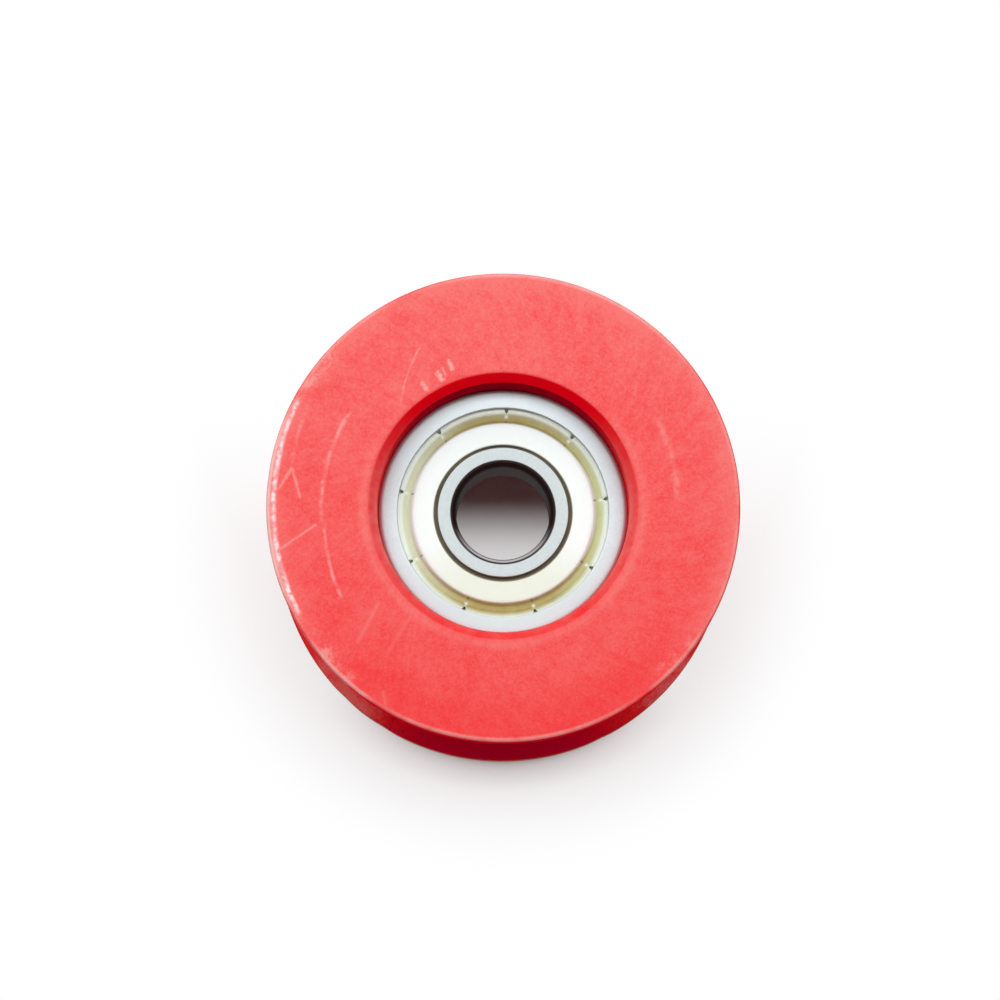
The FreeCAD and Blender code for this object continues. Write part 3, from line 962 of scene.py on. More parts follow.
        # painted side light on the lower flank and upper land, broken by noise
        broken = self.side_light_mix.on(ground)
        flank = strongest(self.flank_side_light, ground) + broken
        flank = flank.rise(*self.side_light_limits) * past_rim.rise(*self.flank_band) * self._lower(ground)
        wall = strongest(self.wall_side_light, ground) + broken
        wall = wall.rise(*self.side_light_limits) * past_rim.rise(*self.wall_band) * upper
        return reduce(Wire.most, [flank * self.flank_light_share, wall * self.wall_light_share, edge, patch]).clamped()

    def _lower(self, ground: Ground) -> Wire:
        """Mark the lower flange."""
        return ground.height.rise(*(-height for height in self.flange_heights))

    def _browned_edge(self, ground: Ground) -> Wire:
        """Work out where the lower flange is soiled brown: its outer edge.

        Args:
            ground: What masks read.

        Returns:
            A mask of the brown edge.
        """
        below = (ground.height + self.face_height).rise(*self.brown_drop)
        outside = (ground.radius - self.rim_radius).rise(*self.brown_band)
        return below * outside * self.brown_mix.on(ground).rise(*self.brown_limits)

    def _grime(self, ground: Ground) -> Wire:
        """Work out where specks of grime sit: on stretches of the lower flank, near its rim.

        Args:
            ground: What masks read.

        Returns:
            A mask of the specks.
        """
        specks = self.speck_mix.on(ground).rise(*self.speck_limits)
        flank = self._lower(ground) * (ground.radius - self.rim_radius).rise(*self.speck_band)
        return specks * flank * strongest(self.grimed, ground)


@dataclass(frozen=True)
class SteelPatch:
    """A ring of steel in another tone, between two radii and two heights in millimetres.

    The shares say how strongly it shows on the near side, the far side and between them, and the metal how much
    of its shine is left under grease or scale. Shares that differ by side paint light and shade.
    """

    inside: float
    outside: float
    bottom: float
    top: float
    colour: Colour = (0.035, 0.028, 0.028)
    near_share: float = 1.0
    far_share: float = 1.0
    side_share: float = 1.0
    metal: float = 1.0
    soft: float = 0.04
    turn_span: Band = (0.2, 0.95)

    def mask(self, ground: Ground) -> Wire:
        """Mark the patch, stronger or weaker by side.

        Args:
            ground: What masks read.

        Returns:
            The mask.
        """
        side, (first, last) = self.side_share, self.turn_span
        kept = ground.across.rise(-first, -last) * (self.near_share - side) + side
        kept = ground.across.rise(first, last) * (self.far_share - side) + kept
        section = ground.radius.between(self.inside, self.outside, self.soft)
        return section * ground.height.between(self.bottom, self.top, self.soft) * kept


@dataclass(frozen=True)
class TurnedSteel:
    """Steel with fine marks round the axis, which may keep patches in other tones."""

    title: str
    light: Colour
    dark: Colour
    roughness: float
    ring_depth: float
    patches: tuple[SteelPatch, ...] = ()
    uneven: float = 0.05
    ring_strength: float = 0.25
    grain: Texture = (3.5, 2.0, 0.6)
    grain_limits: Band = (0.3, 0.7)

    def material(self, effects: Effects) -> bpy.types.Material:
        """Build the material.

        Args:
            effects: The shared node groups.

        Returns:
            The finished material.
        """
        material, graph, shader = new_material(self.title)
        ground = Ground.under(graph, effects)
        marks = ground.turning
        tone, metal = self._tone(ground), self._metal(ground)
        for patch in self.patches:
            shown = patch.mask(ground)
            tone = graph.mix(shown, tone, patch.colour)
            if patch.metal < 1.0:
                metal = (shown * (patch.metal - 1.0) + metal).clamped()
        rough = marks["Cloud"] * self.uneven + (self.roughness - self.uneven)
        rough = (marks["Rings"] * self.uneven + rough).clamped()
        for title, value in {"Base Color": tone, "Roughness": rough, "Metallic": metal}.items():
            graph.feed(shader.inputs[title], value)
        give_bump(shader, marks["Rings"], self.ring_strength, self.ring_depth)
        return material

    def _metal(self, ground: Ground) -> Value:
        """Give the share of bare metal: all of it."""
        return 1.0

    def _tone(self, ground: Ground) -> Wire:
        """Mix the two tones of the bare steel in clouds and fine grain."""
        share = (ground.place.noise(*self.grain) + ground.turning["Cloud"]) * 0.5
        return ground.graph.mix(share.rise(*self.grain_limits), self.dark, self.light)


@dataclass(frozen=True)
class PassivatedSheet(TurnedSteel):
    """Pressed sheet with an olive to brown film over its formed ring, browner on the near and far sides as
    painted shade, with a painted highlight and a darker mark at the crease of each notch.

    Lengths are in millimetres and count outwards from the edge of the flat.
    """

    film_inside: float = 0.0
    film_outside: float = 1.0
    notch_count: int = 9
    first_notch: float = 0.0
    # painted shade: the bare sheet is darker and yellower on the near side
    near_shade_tone: Colour = (0.79, 0.85, 0.77)
    green: Colour = (0.55, 0.62, 0.31)
    brown: Colour = (0.375, 0.265, 0.07)
    # darker mark at the inner end of each notch's crease
    crease_dark: Colour = (0.20, 0.15, 0.08)
    dull_band: Band = (-0.22, 0.8)
    dull_soft: float = 0.12
    dull_loss: float = 0.85
    side_tone_span: Band = (-0.3, -0.95)
    near_span: Band = (-0.2, -0.9)
    far_span: Band = (0.2, 1.0)
    film_start: float = 0.14
    # painted shade: the film starts earlier on the far and near sides and reaches further out on the near side
    far_advance: float = 0.25
    near_advance: float = 0.20
    film_ramp: float = 0.26
    film_full: float = 0.5
    near_spread: float = 0.30
    rim_overlap: float = 0.05
    # painted light: thinner film on the left side
    left_light_loss: float = 0.32
    # painted shade: the film is browner on the near and far sides
    side_shade_brown: float = 0.7
    brown_by_cloud: float = 0.6
    brown_offset: float = -0.2
    # painted highlight: the bright bare tone where each crease catches the light
    pinch_half: float = 0.14
    pinch_band: Band = (0.62, 0.9)
    pinch_soft: float = 0.18
    soot_half: float = 0.07
    crease_dark_band: Band = (0.1, 0.32)
    crease_dark_soft: Band = (0.08, 0.1)

    def _metal(self, ground: Ground) -> Value:
        """Give the share of bare metal: less on the formed ring, where the film is dull."""
        past_flat = ground.radius - self.film_inside
        return past_flat.between(*self.dull_band, self.dull_soft).less(self.dull_loss)

    def _tone(self, ground: Ground) -> Wire:
        """Lay the film, the painted crease highlights and the darker crease marks over the bare steel.

        The film is thickest in the dip and thins out to the rim. It is browner on the near and far sides, where
        (distance to the far side / radius) squared is large, a painted shade. There it also starts on the bend
        of the flat, and on the near side it reaches further out, which paints shade as well. On the left it is
        thinner, a painted light, and the bare sheet is darker and yellower on the near side, a painted shade.

        Args:
            ground: What masks read.

        Returns:
            The colour.
        """
        graph, radius, across = ground.graph, ground.radius, ground.across
        near, past_flat = across.rise(*self.near_span), radius - self.film_inside
        # painted shade on the near side of the bare sheet
        bare = graph.mix(across.rise(*self.side_tone_span), super()._tone(ground), self.near_shade_tone)
        begin = across.rise(*self.far_span) * -self.far_advance + self.film_start
        begin = near * -self.near_advance + begin
        width = self.film_outside - self.film_inside + self.rim_overlap
        film = past_flat.rise(width, near * self.near_spread + self.film_full)
        film = film * past_flat.rise(begin, begin + self.film_ramp)
        # painted light on the left
        film = film * (ground.right / radius).rise(*self.side_tone_span).less(self.left_light_loss)
        cloudy = ground.turning["Cloud"] * self.brown_by_cloud + self.brown_offset
        # painted shade by side, plus brown clouds
        browned = (across * across * self.side_shade_brown + cloudy).clamped()
        filmed = graph.mix(film, bare, graph.mix(browned, self.green, self.brown))
        pitch = FULL_TURN / self.notch_count
        turn = (ground.angle - (self.first_notch - pitch / 2)).math("FLOORED_MODULO", pitch)
        away = (turn - pitch / 2).math("RADIANS") * radius
        # painted highlight on each notch's crease
        crease_highlight = away.between(-self.pinch_half, self.pinch_half, self.pinch_half)
        crease_highlight = crease_highlight * past_flat.between(*self.pinch_band, self.pinch_soft)
        # darker mark at the inner end of each crease
        crease_darkened = away.between(-self.soot_half, self.soot_half, self.crease_dark_soft[0])
        crease_darkened = crease_darkened * past_flat.between(*self.crease_dark_band, self.crease_dark_soft[1])
        return graph.mix(crease_darkened, graph.mix(crease_highlight, filmed, bare), self.crease_dark)


class Steel(Enum):
    """The steels: title, light and dark tone, roughness, and depth of the turning marks in millimetres."""

    OUTER_RING = ("ground_outer_ring", (0.710, 0.810, 0.832), (0.655, 0.745, 0.768), 0.66, 0.004)
    INNER_RING = ("ground_inner_ring", (0.610, 0.674, 0.678), (0.558, 0.620, 0.626), 0.66, 0.004)
    SHIELD = ("passivated_sheet", (0.880, 0.934, 0.922), (0.862, 0.914, 0.902), 0.72, 0.003)
    CAGE = ("pressed_cage_steel", (0.62, 0.62, 0.60), (0.48, 0.47, 0.44), 0.40, 0.01)
    BALL = ("polished_ball_steel", (0.82, 0.83, 0.84), (0.76, 0.77, 0.78), 0.12, 0.002)


# The pieces


@dataclass(frozen=True)
class Dent:
    """A shallow dent in a rim: angle and width in degrees, depth in millimetres, and its flange."""

    angle: float
    width: float
    depth: float
    side: Side


@dataclass
class PulleyWheel:
    """The grooved wheel; sizes in millimetres."""

    rim_land: float = 2.6
    groove_depth: float = 6.8
    flank_lean: float = 1.7
    root_fillet: float = 2.0
    rim_fillet: float = 0.3
    lip_fillet: float = 0.5
    mouth_width: float = 0.85
    mouth_depth: float = 0.95
    mouth_fillet: float = 0.5
    shoulder_width: float = 1.5
    back_mouth_width: float = 1.1
    back_mouth_depth: float = 1.4
    edge_break: float = 0.14
    segments: int = 288
    dent_reach: Band = (-1.2, -0.2)
    flange_heights: Band = (3.0, 6.0)
    dents: tuple[Dent, ...] = (
        Dent(219.0, 2.2, 0.05, Side.UPPER),
        Dent(206.0, 1.5, 0.04, Side.UPPER),
        Dent(173.0, 1.8, 0.03, Side.UPPER),
        Dent(322.0, 1.6, 0.04, Side.UPPER),
        Dent(238.0, 3.0, 0.07, Side.LOWER),
        Dent(226.0, 2.4, 0.05, Side.LOWER),
        Dent(296.0, 2.0, 0.05, Side.LOWER),
    )
    base: float = field(init=False)
    top: float = field(init=False)
    rim: float = field(init=False)
    seat: float = field(init=False)
    shoulder: float = field(init=False)

    def __post_init__(self) -> None:
        """Take the places of the faces, rim, seat and shoulder from the solids."""
        low, high = (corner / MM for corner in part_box("pulley_wheel"))
        ring_low, ring_high = (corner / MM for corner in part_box("bearing_outer_ring"))
        self.base, self.top, self.rim = low.z, high.z, high.x
        self.seat, self.shoulder = ring_high.x, ring_low.z

    def outline(self) -> np.ndarray:
        """Trace the wheel's section: face, rim, groove, rim, face, mouth, seat, shoulder and way through.

        Returns:
            The closed outline.
        """
        root, way = self.rim - self.groove_depth, self.seat - self.shoulder_width
        corners = [
            Corner(way + self.back_mouth_width, self.base, self.edge_break),
            Corner(self.rim, self.base, self.rim_fillet),
            Corner(self.rim, self.base + self.rim_land, self.lip_fillet),
            Corner(root, self.base + self.rim_land + self.flank_lean, self.root_fillet),
            Corner(root, self.top - self.rim_land - self.flank_lean, self.root_fillet),
            Corner(self.rim, self.top - self.rim_land, self.lip_fillet),
            Corner(self.rim, self.top, self.rim_fillet),
            Corner(self.seat + self.mouth_width, self.top, self.mouth_fillet),
            Corner(self.seat, self.top - self.mouth_depth, self.edge_break),
            Corner(self.seat, self.shoulder),
            Corner(way, self.shoulder),
            Corner(way, self.base + self.back_mouth_depth, self.edge_break),
        ]
        return rounded_outline(corners, step=0.8)

    def wear(self, radius: np.ndarray, height: np.ndarray, angle: np.ndarray) -> Warped:
        """Press shallow dents into the rims.

        Formula: near a rim the radius shrinks by the sum of bells round the dents' angles,
        each times its depth, on the flange that it belongs to.

        Args:
            radius: Radii in millimetres.
            height: Heights in millimetres.
            angle: Angles in radians.

        Returns:
            The changed radii and the heights.
        """
        near_rim = smooth_step(*self.dent_reach, radius - self.rim)
        loss = np.zeros_like(radius)
        for dent in self.dents:
            on_side = smooth_step(*self.flange_heights, dent.side.value * height)
            loss += dent.depth * bump_round(angle, dent.angle, dent.width) * on_side
        return radius - near_rim * loss, height

    def build(self, material: bpy.types.Material) -> bpy.types.Object:
        """Make the wheel, dress it and let it stand for its solid."""
        piece = turned_object("wheel_moulding", self.outline(), self.segments, self.wear)
        return seat_piece(piece, material, "wheel", "pulley_wheel")


@dataclass(frozen=True)
class RingTones:
    """Tones of the rings' patches, and how far in millimetres the patches reach."""

    bevel: Colour = (0.05, 0.036, 0.033)
    # painted light: a pale matte tone on the near side of the bore's upper lead
    near_bevel_light: Colour = (0.66, 0.65, 0.68)
    bore_line: Colour = (0.055, 0.042, 0.036)
    # painted shade inside the bore
    bore_wall_shade: Colour = (0.11, 0.10, 0.105)
    inner_room: Colour = (0.40, 0.35, 0.26)
    outer_room: Colour = (0.50, 0.47, 0.38)
    seam: Colour = (0.72, 0.71, 0.67)
    # painted shade on the near side and painted light on the far side of the outer ring's lands
    near_land_shade: Colour = (0.61, 0.70, 0.715)
    far_land_light: Colour = (0.80, 0.91, 0.93)
    lap: float = 0.2
    bevel_lap: float = 0.06
    line_width: float = 0.2
    line_lap: float = 0.02
    wall_depth: float = 0.1
    room_lap: float = 0.05
    room_inset: float = 0.25
    seam_half: float = 0.03
    shallow: float = 0.3
    land_depth: float = 0.6


@dataclass
class BearingRings:
    """The two bearing rings; sizes in millimetres."""

    bore: float = 4.5
    outer_corner: float = 0.5
    bore_lead_width: float = 0.5
    bore_lead_depth: float = 1.0
    ball: float = 1.984
    race_gap: float = 0.03
    race_ease: float = 0.08
    race_depth: float = 0.75
    lip_step: float = 0.655
    lip_height: float = 0.6
    lip_edge: float = 0.06
    undercut_width: float = 0.4
    undercut_depth: float = 0.2
    land_bevel_width: float = 0.45
    land_bevel_depth: float = 0.7
    inner_step_drop: float = 0.72
    inner_step_depth: float = 1.1
    edge_break: float = 0.12
    face_break: float = 0.05
    segments: int = 256
    tones: RingTones = RingTones()
    low: float = field(init=False)
    high: float = field(init=False)
    outside: float = field(init=False)

    def __post_init__(self) -> None:
        """Take the place and outside radius from the solids."""
        low, high = (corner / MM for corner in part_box("bearing_outer_ring"))
        self.low, self.high, self.outside = low.z, high.z, high.x

    @property
    def middle(self) -> float:
        """Height of the bearing's middle plane."""
        return (self.low + self.high) / 2

    @property
    def pitch(self) -> float:
        """Radius of the circle through the balls' centres."""
        return (self.bore + self.outside) / 2

    @property
    def inner_land(self) -> float:
        """Radius of the inner ring's lands."""
        return self.pitch - self.ball - self.race_gap + self.race_depth

    @property
    def inner_face(self) -> float:
        """Outside radius of the inner ring's end faces."""
        return self.inner_land - self.inner_step_drop

    @property
    def outer_land(self) -> float:
        """Radius of the outer ring's lands."""
        return self.pitch + self.ball + self.race_gap - self.race_depth

    @property
    def lip(self) -> float:
        """Radius of the lips over the shields' rims."""
        return self.outer_land + self.lip_step

    def steel_patches(self) -> tuple[SteelPatch, ...]:
        """Place the unground ends of the bore, the greased room behind the shields, the seams, and painted
        light and shade: a pale near lead, a darker bore wall, and lands darker on the near side and lighter on
        the far side.

        Returns:
            The patches, later ones over earlier ones.
        """
        tones, low, high = self.tones, self.low, self.high
        inside, bevel_end = self.bore - tones.lap, self.bore + self.bore_lead_width + tones.bevel_lap
        line = bevel_end - tones.line_width
        lead = (high - self.bore_lead_depth, high + tones.lap)
        room = (low + tones.room_inset, high - tones.room_inset)
        seam = (self.lip - tones.seam_half, self.lip + tones.seam_half)
        land = (self.lip + 2 * tones.seam_half, self.outside + tones.wall_depth,
                high - tones.land_depth, high + tones.lap)
        return (
            # painted light: the dark scale on the upper bore lead is faint on the near side, where a pale matte
            # tone is painted over it
            SteelPatch(inside, bevel_end, *lead, tones.bevel, near_share=0.12),
            SteelPatch(inside, line, *lead, tones.near_bevel_light, far_share=0.0, side_share=0.0, metal=0.0),
            SteelPatch(line, bevel_end + tones.line_lap, high - tones.shallow, high + tones.lap,
                       tones.bore_line, side_share=0.7, metal=0.2),
            SteelPatch(inside, bevel_end, low - tones.lap, low + self.bore_lead_depth),
            # painted shade: a dark tone over the whole bore wall
            SteelPatch(inside, self.bore + tones.wall_depth, low, high, tones.bore_wall_shade),
            SteelPatch(self.inner_face - tones.room_lap, self.pitch, *room, tones.inner_room, metal=0.4),
            SteelPatch(self.pitch, self.lip - tones.room_lap, *room, tones.outer_room),
            SteelPatch(*seam, high - tones.shallow, high + tones.lap, tones.seam),
            SteelPatch(*seam, low - tones.lap, low + tones.shallow, tones.seam),
            # painted shade on the near lands, painted light on the far lands
            SteelPatch(*land, tones.near_land_shade, near_share=0.85, far_share=0.0, side_share=0.0),
            SteelPatch(*land, tones.far_land_light, near_share=0.0, far_share=0.8, side_share=0.0),
        )

    def outer_outline(self) -> np.ndarray:
        """Trace the outer ring's section with rounded corners, lips, undercuts, bevels and raceway.

        Returns:
            The closed outline.
        """
        curve = self.ball + self.race_ease
        centre = self.pitch + self.race_gap - self.race_ease
        lip_foot, floor = self.high - self.lip_height, self.high - self.lip_height - self.undercut_width
        undercut, bevel = self.lip + self.undercut_depth, self.outer_land + self.land_bevel_width
        upper = [
            Corner(self.lip, self.high, self.lip_edge),
            Corner(self.lip, lip_foot),
            Corner(undercut, lip_foot),
            Corner(undercut, floor),
            Corner(bevel, floor),
            Corner(self.outer_land, floor - self.land_bevel_depth),
        ]
        race = race_corners(centre, self.middle, curve, self.outer_land)
        outside = [Corner(self.outside, end, self.outer_corner) for end in (self.low, self.high)]
        return rounded_outline(outside + upper + race + self.mirrored(upper), step=0.5)

    def inner_outline(self) -> np.ndarray:
        """Trace the inner ring's section with its bore, stepped ends and raceway.

        Returns:
            The closed outline.
        """
        curve = self.ball + self.race_ease
        centre = self.pitch - self.race_gap + self.race_ease
        lower = [
            Corner(self.bore, self.low + self.bore_lead_depth, self.edge_break),
            Corner(self.bore + self.bore_lead_width, self.low, self.edge_break),
            Corner(self.inner_face, self.low, self.face_break),
            Corner(self.inner_face, self.low + self.inner_step_depth),
            Corner(self.inner_land, self.low + self.inner_step_depth),
        ]
        race = list(reversed(race_corners(centre, self.middle, curve, self.inner_land)))
        return rounded_outline(lower + race + self.mirrored(lower), step=0.5)

    def mirrored(self, corners: Sequence[Corner]) -> list[Corner]:
        """Mirror corners in the bearing's middle plane, in the order that goes on round the outline."""
        return [Corner(c.r, self.low + self.high - c.z, c.rounding) for c in reversed(corners)]

    def build(self, effects: Effects) -> list[bpy.types.Object]:
        """Make both rings, dress them and let them stand for their solids.

        Args:
            effects: The shared node groups.

        Returns:
            The outer and the inner ring.
        """
        patches = self.steel_patches()
        outer = turned_object("outer_race_ring", self.outer_outline(), self.segments)
        inner = turned_object("inner_race_ring", self.inner_outline(), self.segments)
        outer_finish = TurnedSteel(*Steel.OUTER_RING.value, patches).material(effects)
        inner_finish = TurnedSteel(*Steel.INNER_RING.value, patches).material(effects)
        return [seat_piece(outer, outer_finish, "wheel", "bearing_outer_ring"),
                seat_piece(inner, inner_finish, "inner_race", "bearing_inner_ring")]


@dataclass
class PressedShield:
    """One pressed shield; sizes in millimetres, heights from the bearing's middle."""

    side: Side
    rings: BearingRings
    sheet: float = 0.3
    hold: float = 0.12
    gap: float = 0.32
    rim_width: float = 0.65
    slope: float = 0.35
    shift: float = 0.1
    dip_width: float = 0.25
    dip_drop: float = 0.1
    flat_sink: float = 0.35
    bend: float = 0.2
    sheet_edge: float = 0.06
    notch_count: int = 9
    notch_width: float = 0.28
    notch_length: float = 0.55
    notch_soft: float = 0.06
    notch_angle: float = 88.0
    crease_depth: float = 0.05
    crease_spread: float = 0.6
    crease_band: Band = (-1.2, -0.5)
    steps_per_notch: int = 60
    seam_tone: Colour = (0.68, 0.66, 0.60)
    seam_band: Band = (-0.02, 0.3)
    hole_tone: Colour = (0.36, 0.31, 0.20)
    hole_band: Band = (-0.1, 0.12)

    @property
    def end(self) -> str:
        """The end of the bearing that the shield closes, as a word."""
        return self.side.name.lower()

    @property
    def first_notch(self) -> float:
        """Angle of the first notch in degrees."""
        return self.notch_angle if self.side is Side.UPPER else 0.0

    @property
    def hole(self) -> float:
        """Radius of the hole round the inner ring."""
        return self.rings.inner_face + self.gap

    @property
    def flat_edge(self) -> float:
        """Radius at which the flat ends and the formed ring begins."""
        return self.rings.lip + self.hold - self.rim_width - 2 * self.slope - self.dip_width

    def finish(self) -> PassivatedSheet:
        """Choose the finish of this shield, with its marks at its own notches.

        Returns:
            The finish.
        """
        rings = self.rings
        ends = (rings.low, rings.high)
        seam = SteelPatch(*(rings.lip + reach for reach in self.seam_band), *ends, self.seam_tone)
        # dark edge of the hole, weaker on the far side as painted light
        edge = SteelPatch(*(self.hole + reach for reach in self.hole_band), *ends, self.hole_tone,
                          far_share=0.4)
        title, *steel = Steel.SHIELD.value
        return PassivatedSheet(
            f"{title}_{self.end}", *steel, (seam, edge), film_inside=self.flat_edge,
            film_outside=rings.lip, notch_count=self.notch_count, first_notch=self.first_notch)

    def outline(self) -> np.ndarray:
        """Trace the sheet's section: flat, step down, dip and rim, with its underside.

        Returns:
            The closed outline.
        """
        rings, flat_out = self.rings, self.flat_edge
        half = (rings.high - rings.low) / 2
        rim_under = half - rings.lip_height - rings.undercut_width
        dip_under, flat_over = rim_under - self.dip_drop, half - self.flat_sink
        edge = rings.lip + self.hold
        rim_in = edge - self.rim_width
        dip_out = rim_in - self.slope
        dip_in = dip_out - self.dip_width
        corners = [
            Corner(self.hole, flat_over - self.sheet, self.sheet_edge),
            Corner(flat_out - self.shift, flat_over - self.sheet, self.bend),
            Corner(dip_in - self.shift, dip_under, self.bend),
            Corner(dip_out + self.shift, dip_under, self.bend),
            Corner(rim_in + self.shift, rim_under, self.bend),
            Corner(edge, rim_under, self.sheet_edge),
            Corner(edge, rim_under + self.sheet, self.sheet_edge),
            Corner(rim_in, rim_under + self.sheet, self.bend),
            Corner(dip_out, dip_under + self.sheet, self.bend),
            Corner(dip_in, dip_under + self.sheet, self.bend),
            Corner(flat_out, flat_over, self.bend),
            Corner(self.hole, flat_over, self.sheet_edge),
        ]
        outline = rounded_outline(corners, step=0.3)
        outline[:, 1] = rings.middle + self.side.value * outline[:, 1]
        return outline if self.side is Side.UPPER else outline[::-1]

    def press(self, radius: np.ndarray, height: np.ndarray, angle: np.ndarray) -> Warped:
        """Cut the rim notches and press a crease inwards from each.

        Formula: within a notch the radius beyond the notch's root is drawn back to the root;
        the crease lowers the sheet by a bell across the notch's angle times a rise along the dip.

        Args:
            radius: Radii in millimetres.
            height: Heights in millimetres.
            angle: Angles in radians.

        Returns:
            The changed radii and heights.
        """
        pace, half = 2.0 * np.pi / self.notch_count, self.notch_width / 2
        away = (angle - math.radians(self.first_notch) + pace / 2) % pace - pace / 2
        across = np.abs(away) * radius.max()
        inside = 1.0 - smooth_step(half - self.notch_soft, half + self.notch_soft, across)
        root = float(radius.max()) - self.notch_length
        radius = radius - inside * np.clip(radius - root, 0.0, None)
        along = smooth_step(*self.crease_band, radius - root)
        crease = np.exp(-((across / (self.crease_spread * self.notch_width)) ** 2)) * along
        return radius, height - self.side.value * self.crease_depth * crease

    def build(self, effects: Effects) -> bpy.types.Object:
        """Make the shield, dress it and let it stand for its solid.

        Args:
            effects: The shared node groups.

        Returns:
            The shield.
        """
        segments = self.notch_count * self.steps_per_notch
        piece = turned_object(f"pressed_shield_{self.end}", self.outline(), segments, self.press)
        return seat_piece(piece, self.finish().material(effects), "wheel", f"shield_{self.end}")


@dataclass
class RollingSet:
    """The balls and the riveted cage, shown as their solids."""

    ball_count: int = 7
    cage_nodes: tuple[str, ...] = ("cage_upper_half", "cage_lower_half", "cage_rivets")

    def build(self, effects: Effects) -> list[bpy.types.Object]:
        """Give the balls and the cage their finishes.

        Args:
            effects: The shared node groups.

        Returns:
            The dressed nodes.
        """
        ball = TurnedSteel(*Steel.BALL.value).material(effects)
        cage = TurnedSteel(*Steel.CAGE.value).material(effects)
        finishes = {f"ball_{number}": ball for number in range(1, self.ball_count + 1)}
        finishes.update({node: cage for node in self.cage_nodes})
        dressed = []
        for node, material in finishes.items():
            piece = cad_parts[node]
            piece.data.materials.clear()
            piece.data.materials.append(material)
            dressed.append(piece)
        return dressed


def seat_piece(piece: bpy.types.Object, material: bpy.types.Material, body: str, node: str) -> bpy.types.Object:
    """Dress a piece and let it ride on a body in place of a node.

    Args:
        piece: The new piece.
        material: Its finish.
        body: Body that carries it.
        node: Node that it stands for.

    Returns:
        The piece.
    """
    piece.data.materials.append(material)
    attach(piece, body)
    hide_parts(node)
    return piece


# Studio


@dataclass(frozen=True)
class Softbox:
    """An area lamp: places and sizes in millimetres, power in watts."""

    name: str
    place: tuple[float, float, float]
    size: tuple[float, float]
    power: float

    def build(self, target: Vector) -> bpy.types.Object:
        """Make the lamp.

        Args:
            target: Place in metres that it points at.

        Returns:
            The lamp.
        """
        data = bpy.data.lights.new(self.name, "AREA")
        data.shape = "RECTANGLE"
        data.size, data.size_y = self.size[0] * MM, self.size[1] * MM
        data.energy = self.power
        lamp = bpy.data.objects.new(self.name, data)
        lamp.location = Vector(self.place) * MM
        lamp.rotation_euler = (target - lamp.location).to_track_quat("-Z", "Y").to_euler()
        bpy.context.scene.collection.objects.link(lamp)
        return lamp


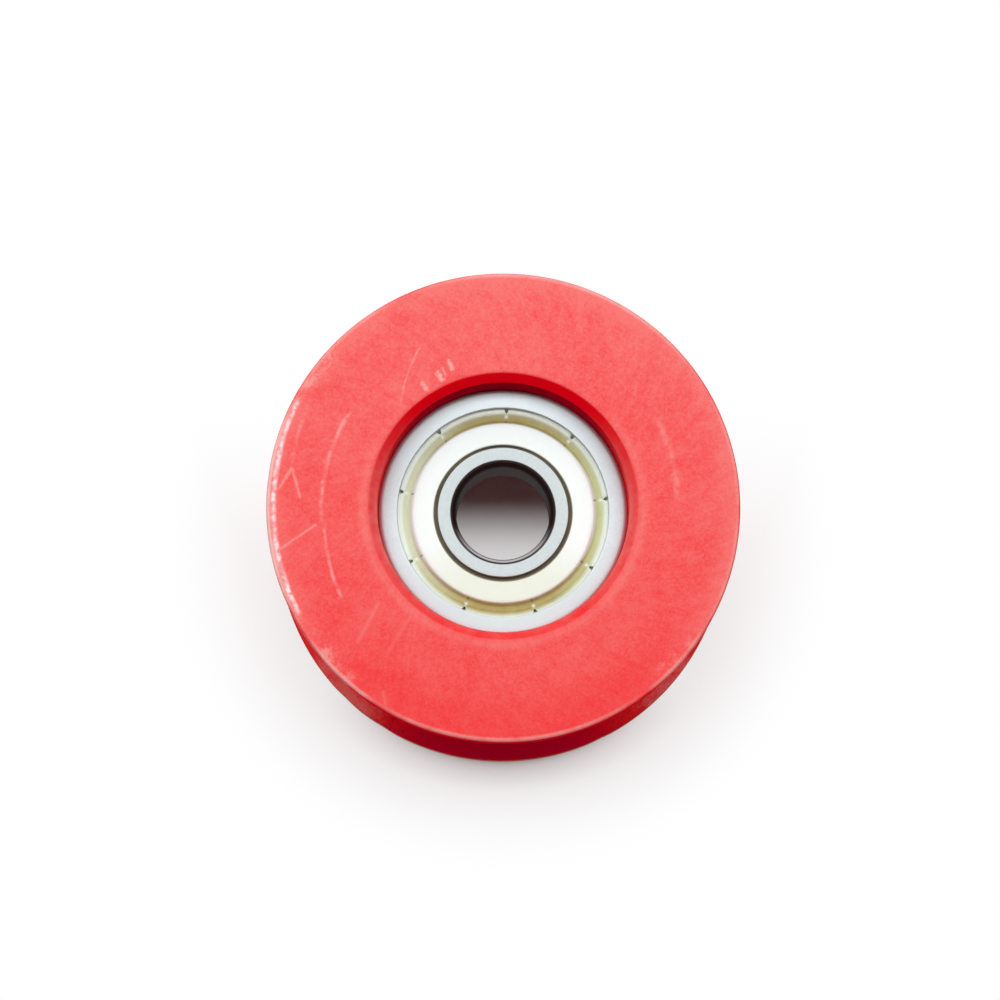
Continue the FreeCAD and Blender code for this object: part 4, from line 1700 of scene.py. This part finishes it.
@dataclass(frozen=True)
class Studio:
    """Pale floor, soft lamps, even surroundings and the camera; lengths in millimetres."""

    floor_size: float = 6000.0
    floor_sink: float = 0.03
    floor_colour: Colour = (0.90, 0.925, 0.925)
    floor_shade: float = 0.97
    floor_cloud: Texture = (0.04, 2.0, 0.55)
    floor_roughness: float = 0.85
    floor_specular: float = 0.1
    beside_lift: float = 0.69
    open_reach: Band = (23.5, 34.5)
    open_far: Band = (-5.0, 15.0)
    bore_reach: Band = (14.0, 20.0)
    # painted pool of light on the floor under the bore, on its near side
    bore_light_pool: float = 0.52
    bore_light_span: Band = (4.4, -2.6)
    contact_near: Band = (-0.60, -1.04)
    contact_inset: float = 0.2
    contact_width: float = 3.3
    ambient: float = 0.15
    lamps: tuple[Softbox, ...] = (
        Softbox("overhead_softbox", (0.0, 128.0, 688.0), (900.0, 200.0), 3.3),
        Softbox("far_softbox", (-60.0, 480.0, 420.0), (420.0, 300.0), 1.1),
        Softbox("left_softbox", (-470.0, 40.0, 430.0), (260.0, 330.0), 0.48),
        Softbox("right_softbox", (470.0, 40.0, 430.0), (260.0, 330.0), 0.40),
    )
    tilt_deg: float = 8.85
    turn_deg: float = -2.3
    distance: float = 353.1
    focal_pixels: float = 3724.2
    camera_right: float = -0.316
    camera_up: float = 0.495
    sensor_width: float = 36.0
    clip_metres: Band = (0.01, 20.0)

    def floor(self, effects: Effects) -> bpy.types.Object:
        """Lay the floor just under the part.

        Args:
            effects: The shared node groups.

        Returns:
            The floor.
        """
        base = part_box("pulley_wheel")[0].z - self.floor_sink * MM
        corners = np.array([(-1, -1), (1, -1), (1, 1), (-1, 1)]) * self.floor_size * MM / 2
        mesh = bpy.data.meshes.new("studio_floor")
        mesh.from_pydata(np.column_stack([corners, np.full(4, base)]).tolist(), [], [(0, 1, 2, 3)])
        mesh.materials.append(self.floor_material(effects))
        piece = bpy.data.objects.new("studio_floor", mesh)
        bpy.context.scene.collection.objects.link(piece)
        return piece

    def floor_material(self, effects: Effects) -> bpy.types.Material:
        """Build the floor's material, which is lifted to white where it is looked at.

        Args:
            effects: The shared node groups.

        Returns:
            The finished material.
        """
        material, graph, shader = new_material("pale_floor")
        ground = Ground.under(graph, effects)
        darker = tuple(self.floor_shade * part for part in self.floor_colour)
        cloud = ground.place.noise(*self.floor_cloud)
        fed = {"Base Color": graph.mix(cloud, darker, self.floor_colour), "Roughness": self.floor_roughness,
               "Specular IOR Level": self.floor_specular}
        for title, value in fed.items():
            graph.feed(shader.inputs[title], value)
        rays = graph.wires(graph.node("ShaderNodeLightPath"))
        seen = reduce(Wire.most, [rays[f"Is {kind} Ray"] for kind in ("Camera", "Glossy", "Transmission")])
        white = graph.node("ShaderNodeEmission")
        surfaces = (Wire(graph, node.outputs[0]) for node in (shader, white))
        lifted = graph.node("ShaderNodeMixShader", seen * self._lift(ground), *surfaces)
        output = next(n for n in material.node_tree.nodes if n.type == "OUTPUT_MATERIAL")
        graph.feed(output.inputs["Surface"], Wire(graph, lifted.outputs[0]))
        return material

    def _lift(self, ground: Ground) -> Wire:
        """Work out how far the floor is lifted: fully in the open and towards the far side, most of the way
        beside the part, which paints light over its shadow there, less at the near side's contact, and under
        the bore only on its near side, a painted pool of light.

        Args:
            ground: What masks read.

        Returns:
            The share of white.
        """
        radius, far = ground.radius, ground.far
        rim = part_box("pulley_wheel")[1].x / MM - self.contact_inset
        beyond = radius.rise(*self.open_reach).most(far.rise(*self.open_far))
        share = beyond * (1.0 - self.beside_lift) + self.beside_lift
        close = ((radius - rim) / self.contact_width).clamped().math("SQRT")
        contact = ground.across.rise(*self.contact_near) * (close - 1.0) + 1.0
        outside = share * contact * radius.rise(*self.bore_reach)
        # painted pool of light under the bore
        inside = far.rise(*self.bore_light_span) * self.bore_light_pool * radius.rise(*reversed(self.bore_reach))
        return outside + inside

    def surroundings(self) -> None:
        """Fill the shadows evenly from all round."""
        world = bpy.data.worlds.new("studio_surroundings")
        bpy.context.scene.world = world
        world.use_nodes = True
        background = next(n for n in world.node_tree.nodes if n.type == "BACKGROUND")
        background.inputs["Strength"].default_value = self.ambient
        background.inputs["Color"].default_value = (*WHITE, 1.0)

    def camera(self) -> bpy.types.Object:
        """Set up the camera above the part, tilted a little towards its near side.

        Returns:
            The camera.
        """
        tilt, turn = math.radians(self.tilt_deg), math.radians(self.turn_deg - 90.0)
        top = Vector((0.0, 0.0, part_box("pulley_wheel")[1].z))
        back = Vector((math.sin(tilt) * math.cos(turn), math.sin(tilt) * math.sin(turn), math.cos(tilt)))
        far = Vector((0.0, 1.0, 0.0))
        up = (far - far.dot(back) * back).normalized()
        right = up.cross(back)
        data = bpy.data.cameras.new("photo_camera")
        data.sensor_width = self.sensor_width
        data.lens = self.focal_pixels / PHOTO_PIXELS * self.sensor_width
        data.clip_start, data.clip_end = self.clip_metres
        camera = bpy.data.objects.new("photo_camera", data)
        camera.location = top + (self.distance * back + self.camera_up * up + self.camera_right * right) * MM
        camera.rotation_euler = Matrix((right, up, back)).transposed().to_euler()
        bpy.context.scene.collection.objects.link(camera)
        bpy.context.scene.camera = camera
        return camera

    def build(self, effects: Effects) -> None:
        """Set up the floor, lamps, surroundings, camera and plain view.

        Args:
            effects: The shared node groups.
        """
        self.floor(effects)
        self.surroundings()
        for lamp in self.lamps:
            lamp.build(Vector((0.0, 0.0, 0.0)))
        self.camera()
        bpy.context.scene.view_settings.view_transform = "Standard"


def main() -> None:
    """Build every piece in order and log its face count, then the studio."""
    logging.basicConfig(level=logging.INFO, format="%(name)s: %(message)s")
    effects = Effects()
    wheel, rings = PulleyWheel(), BearingRings()
    red = MouldedRed(wheel.top, wheel.rim, wheel.seat + wheel.mouth_width)
    pieces = [wheel.build(red.material(effects))]
    pieces += rings.build(effects)
    pieces += [PressedShield(side, rings).build(effects) for side in Side]
    pieces += RollingSet().build(effects)
    for piece in pieces:
        LOG.info("%s: %d faces", piece.name, len(piece.data.polygons))
    Studio().build(effects)


if __name__ == "__main__":
    main()
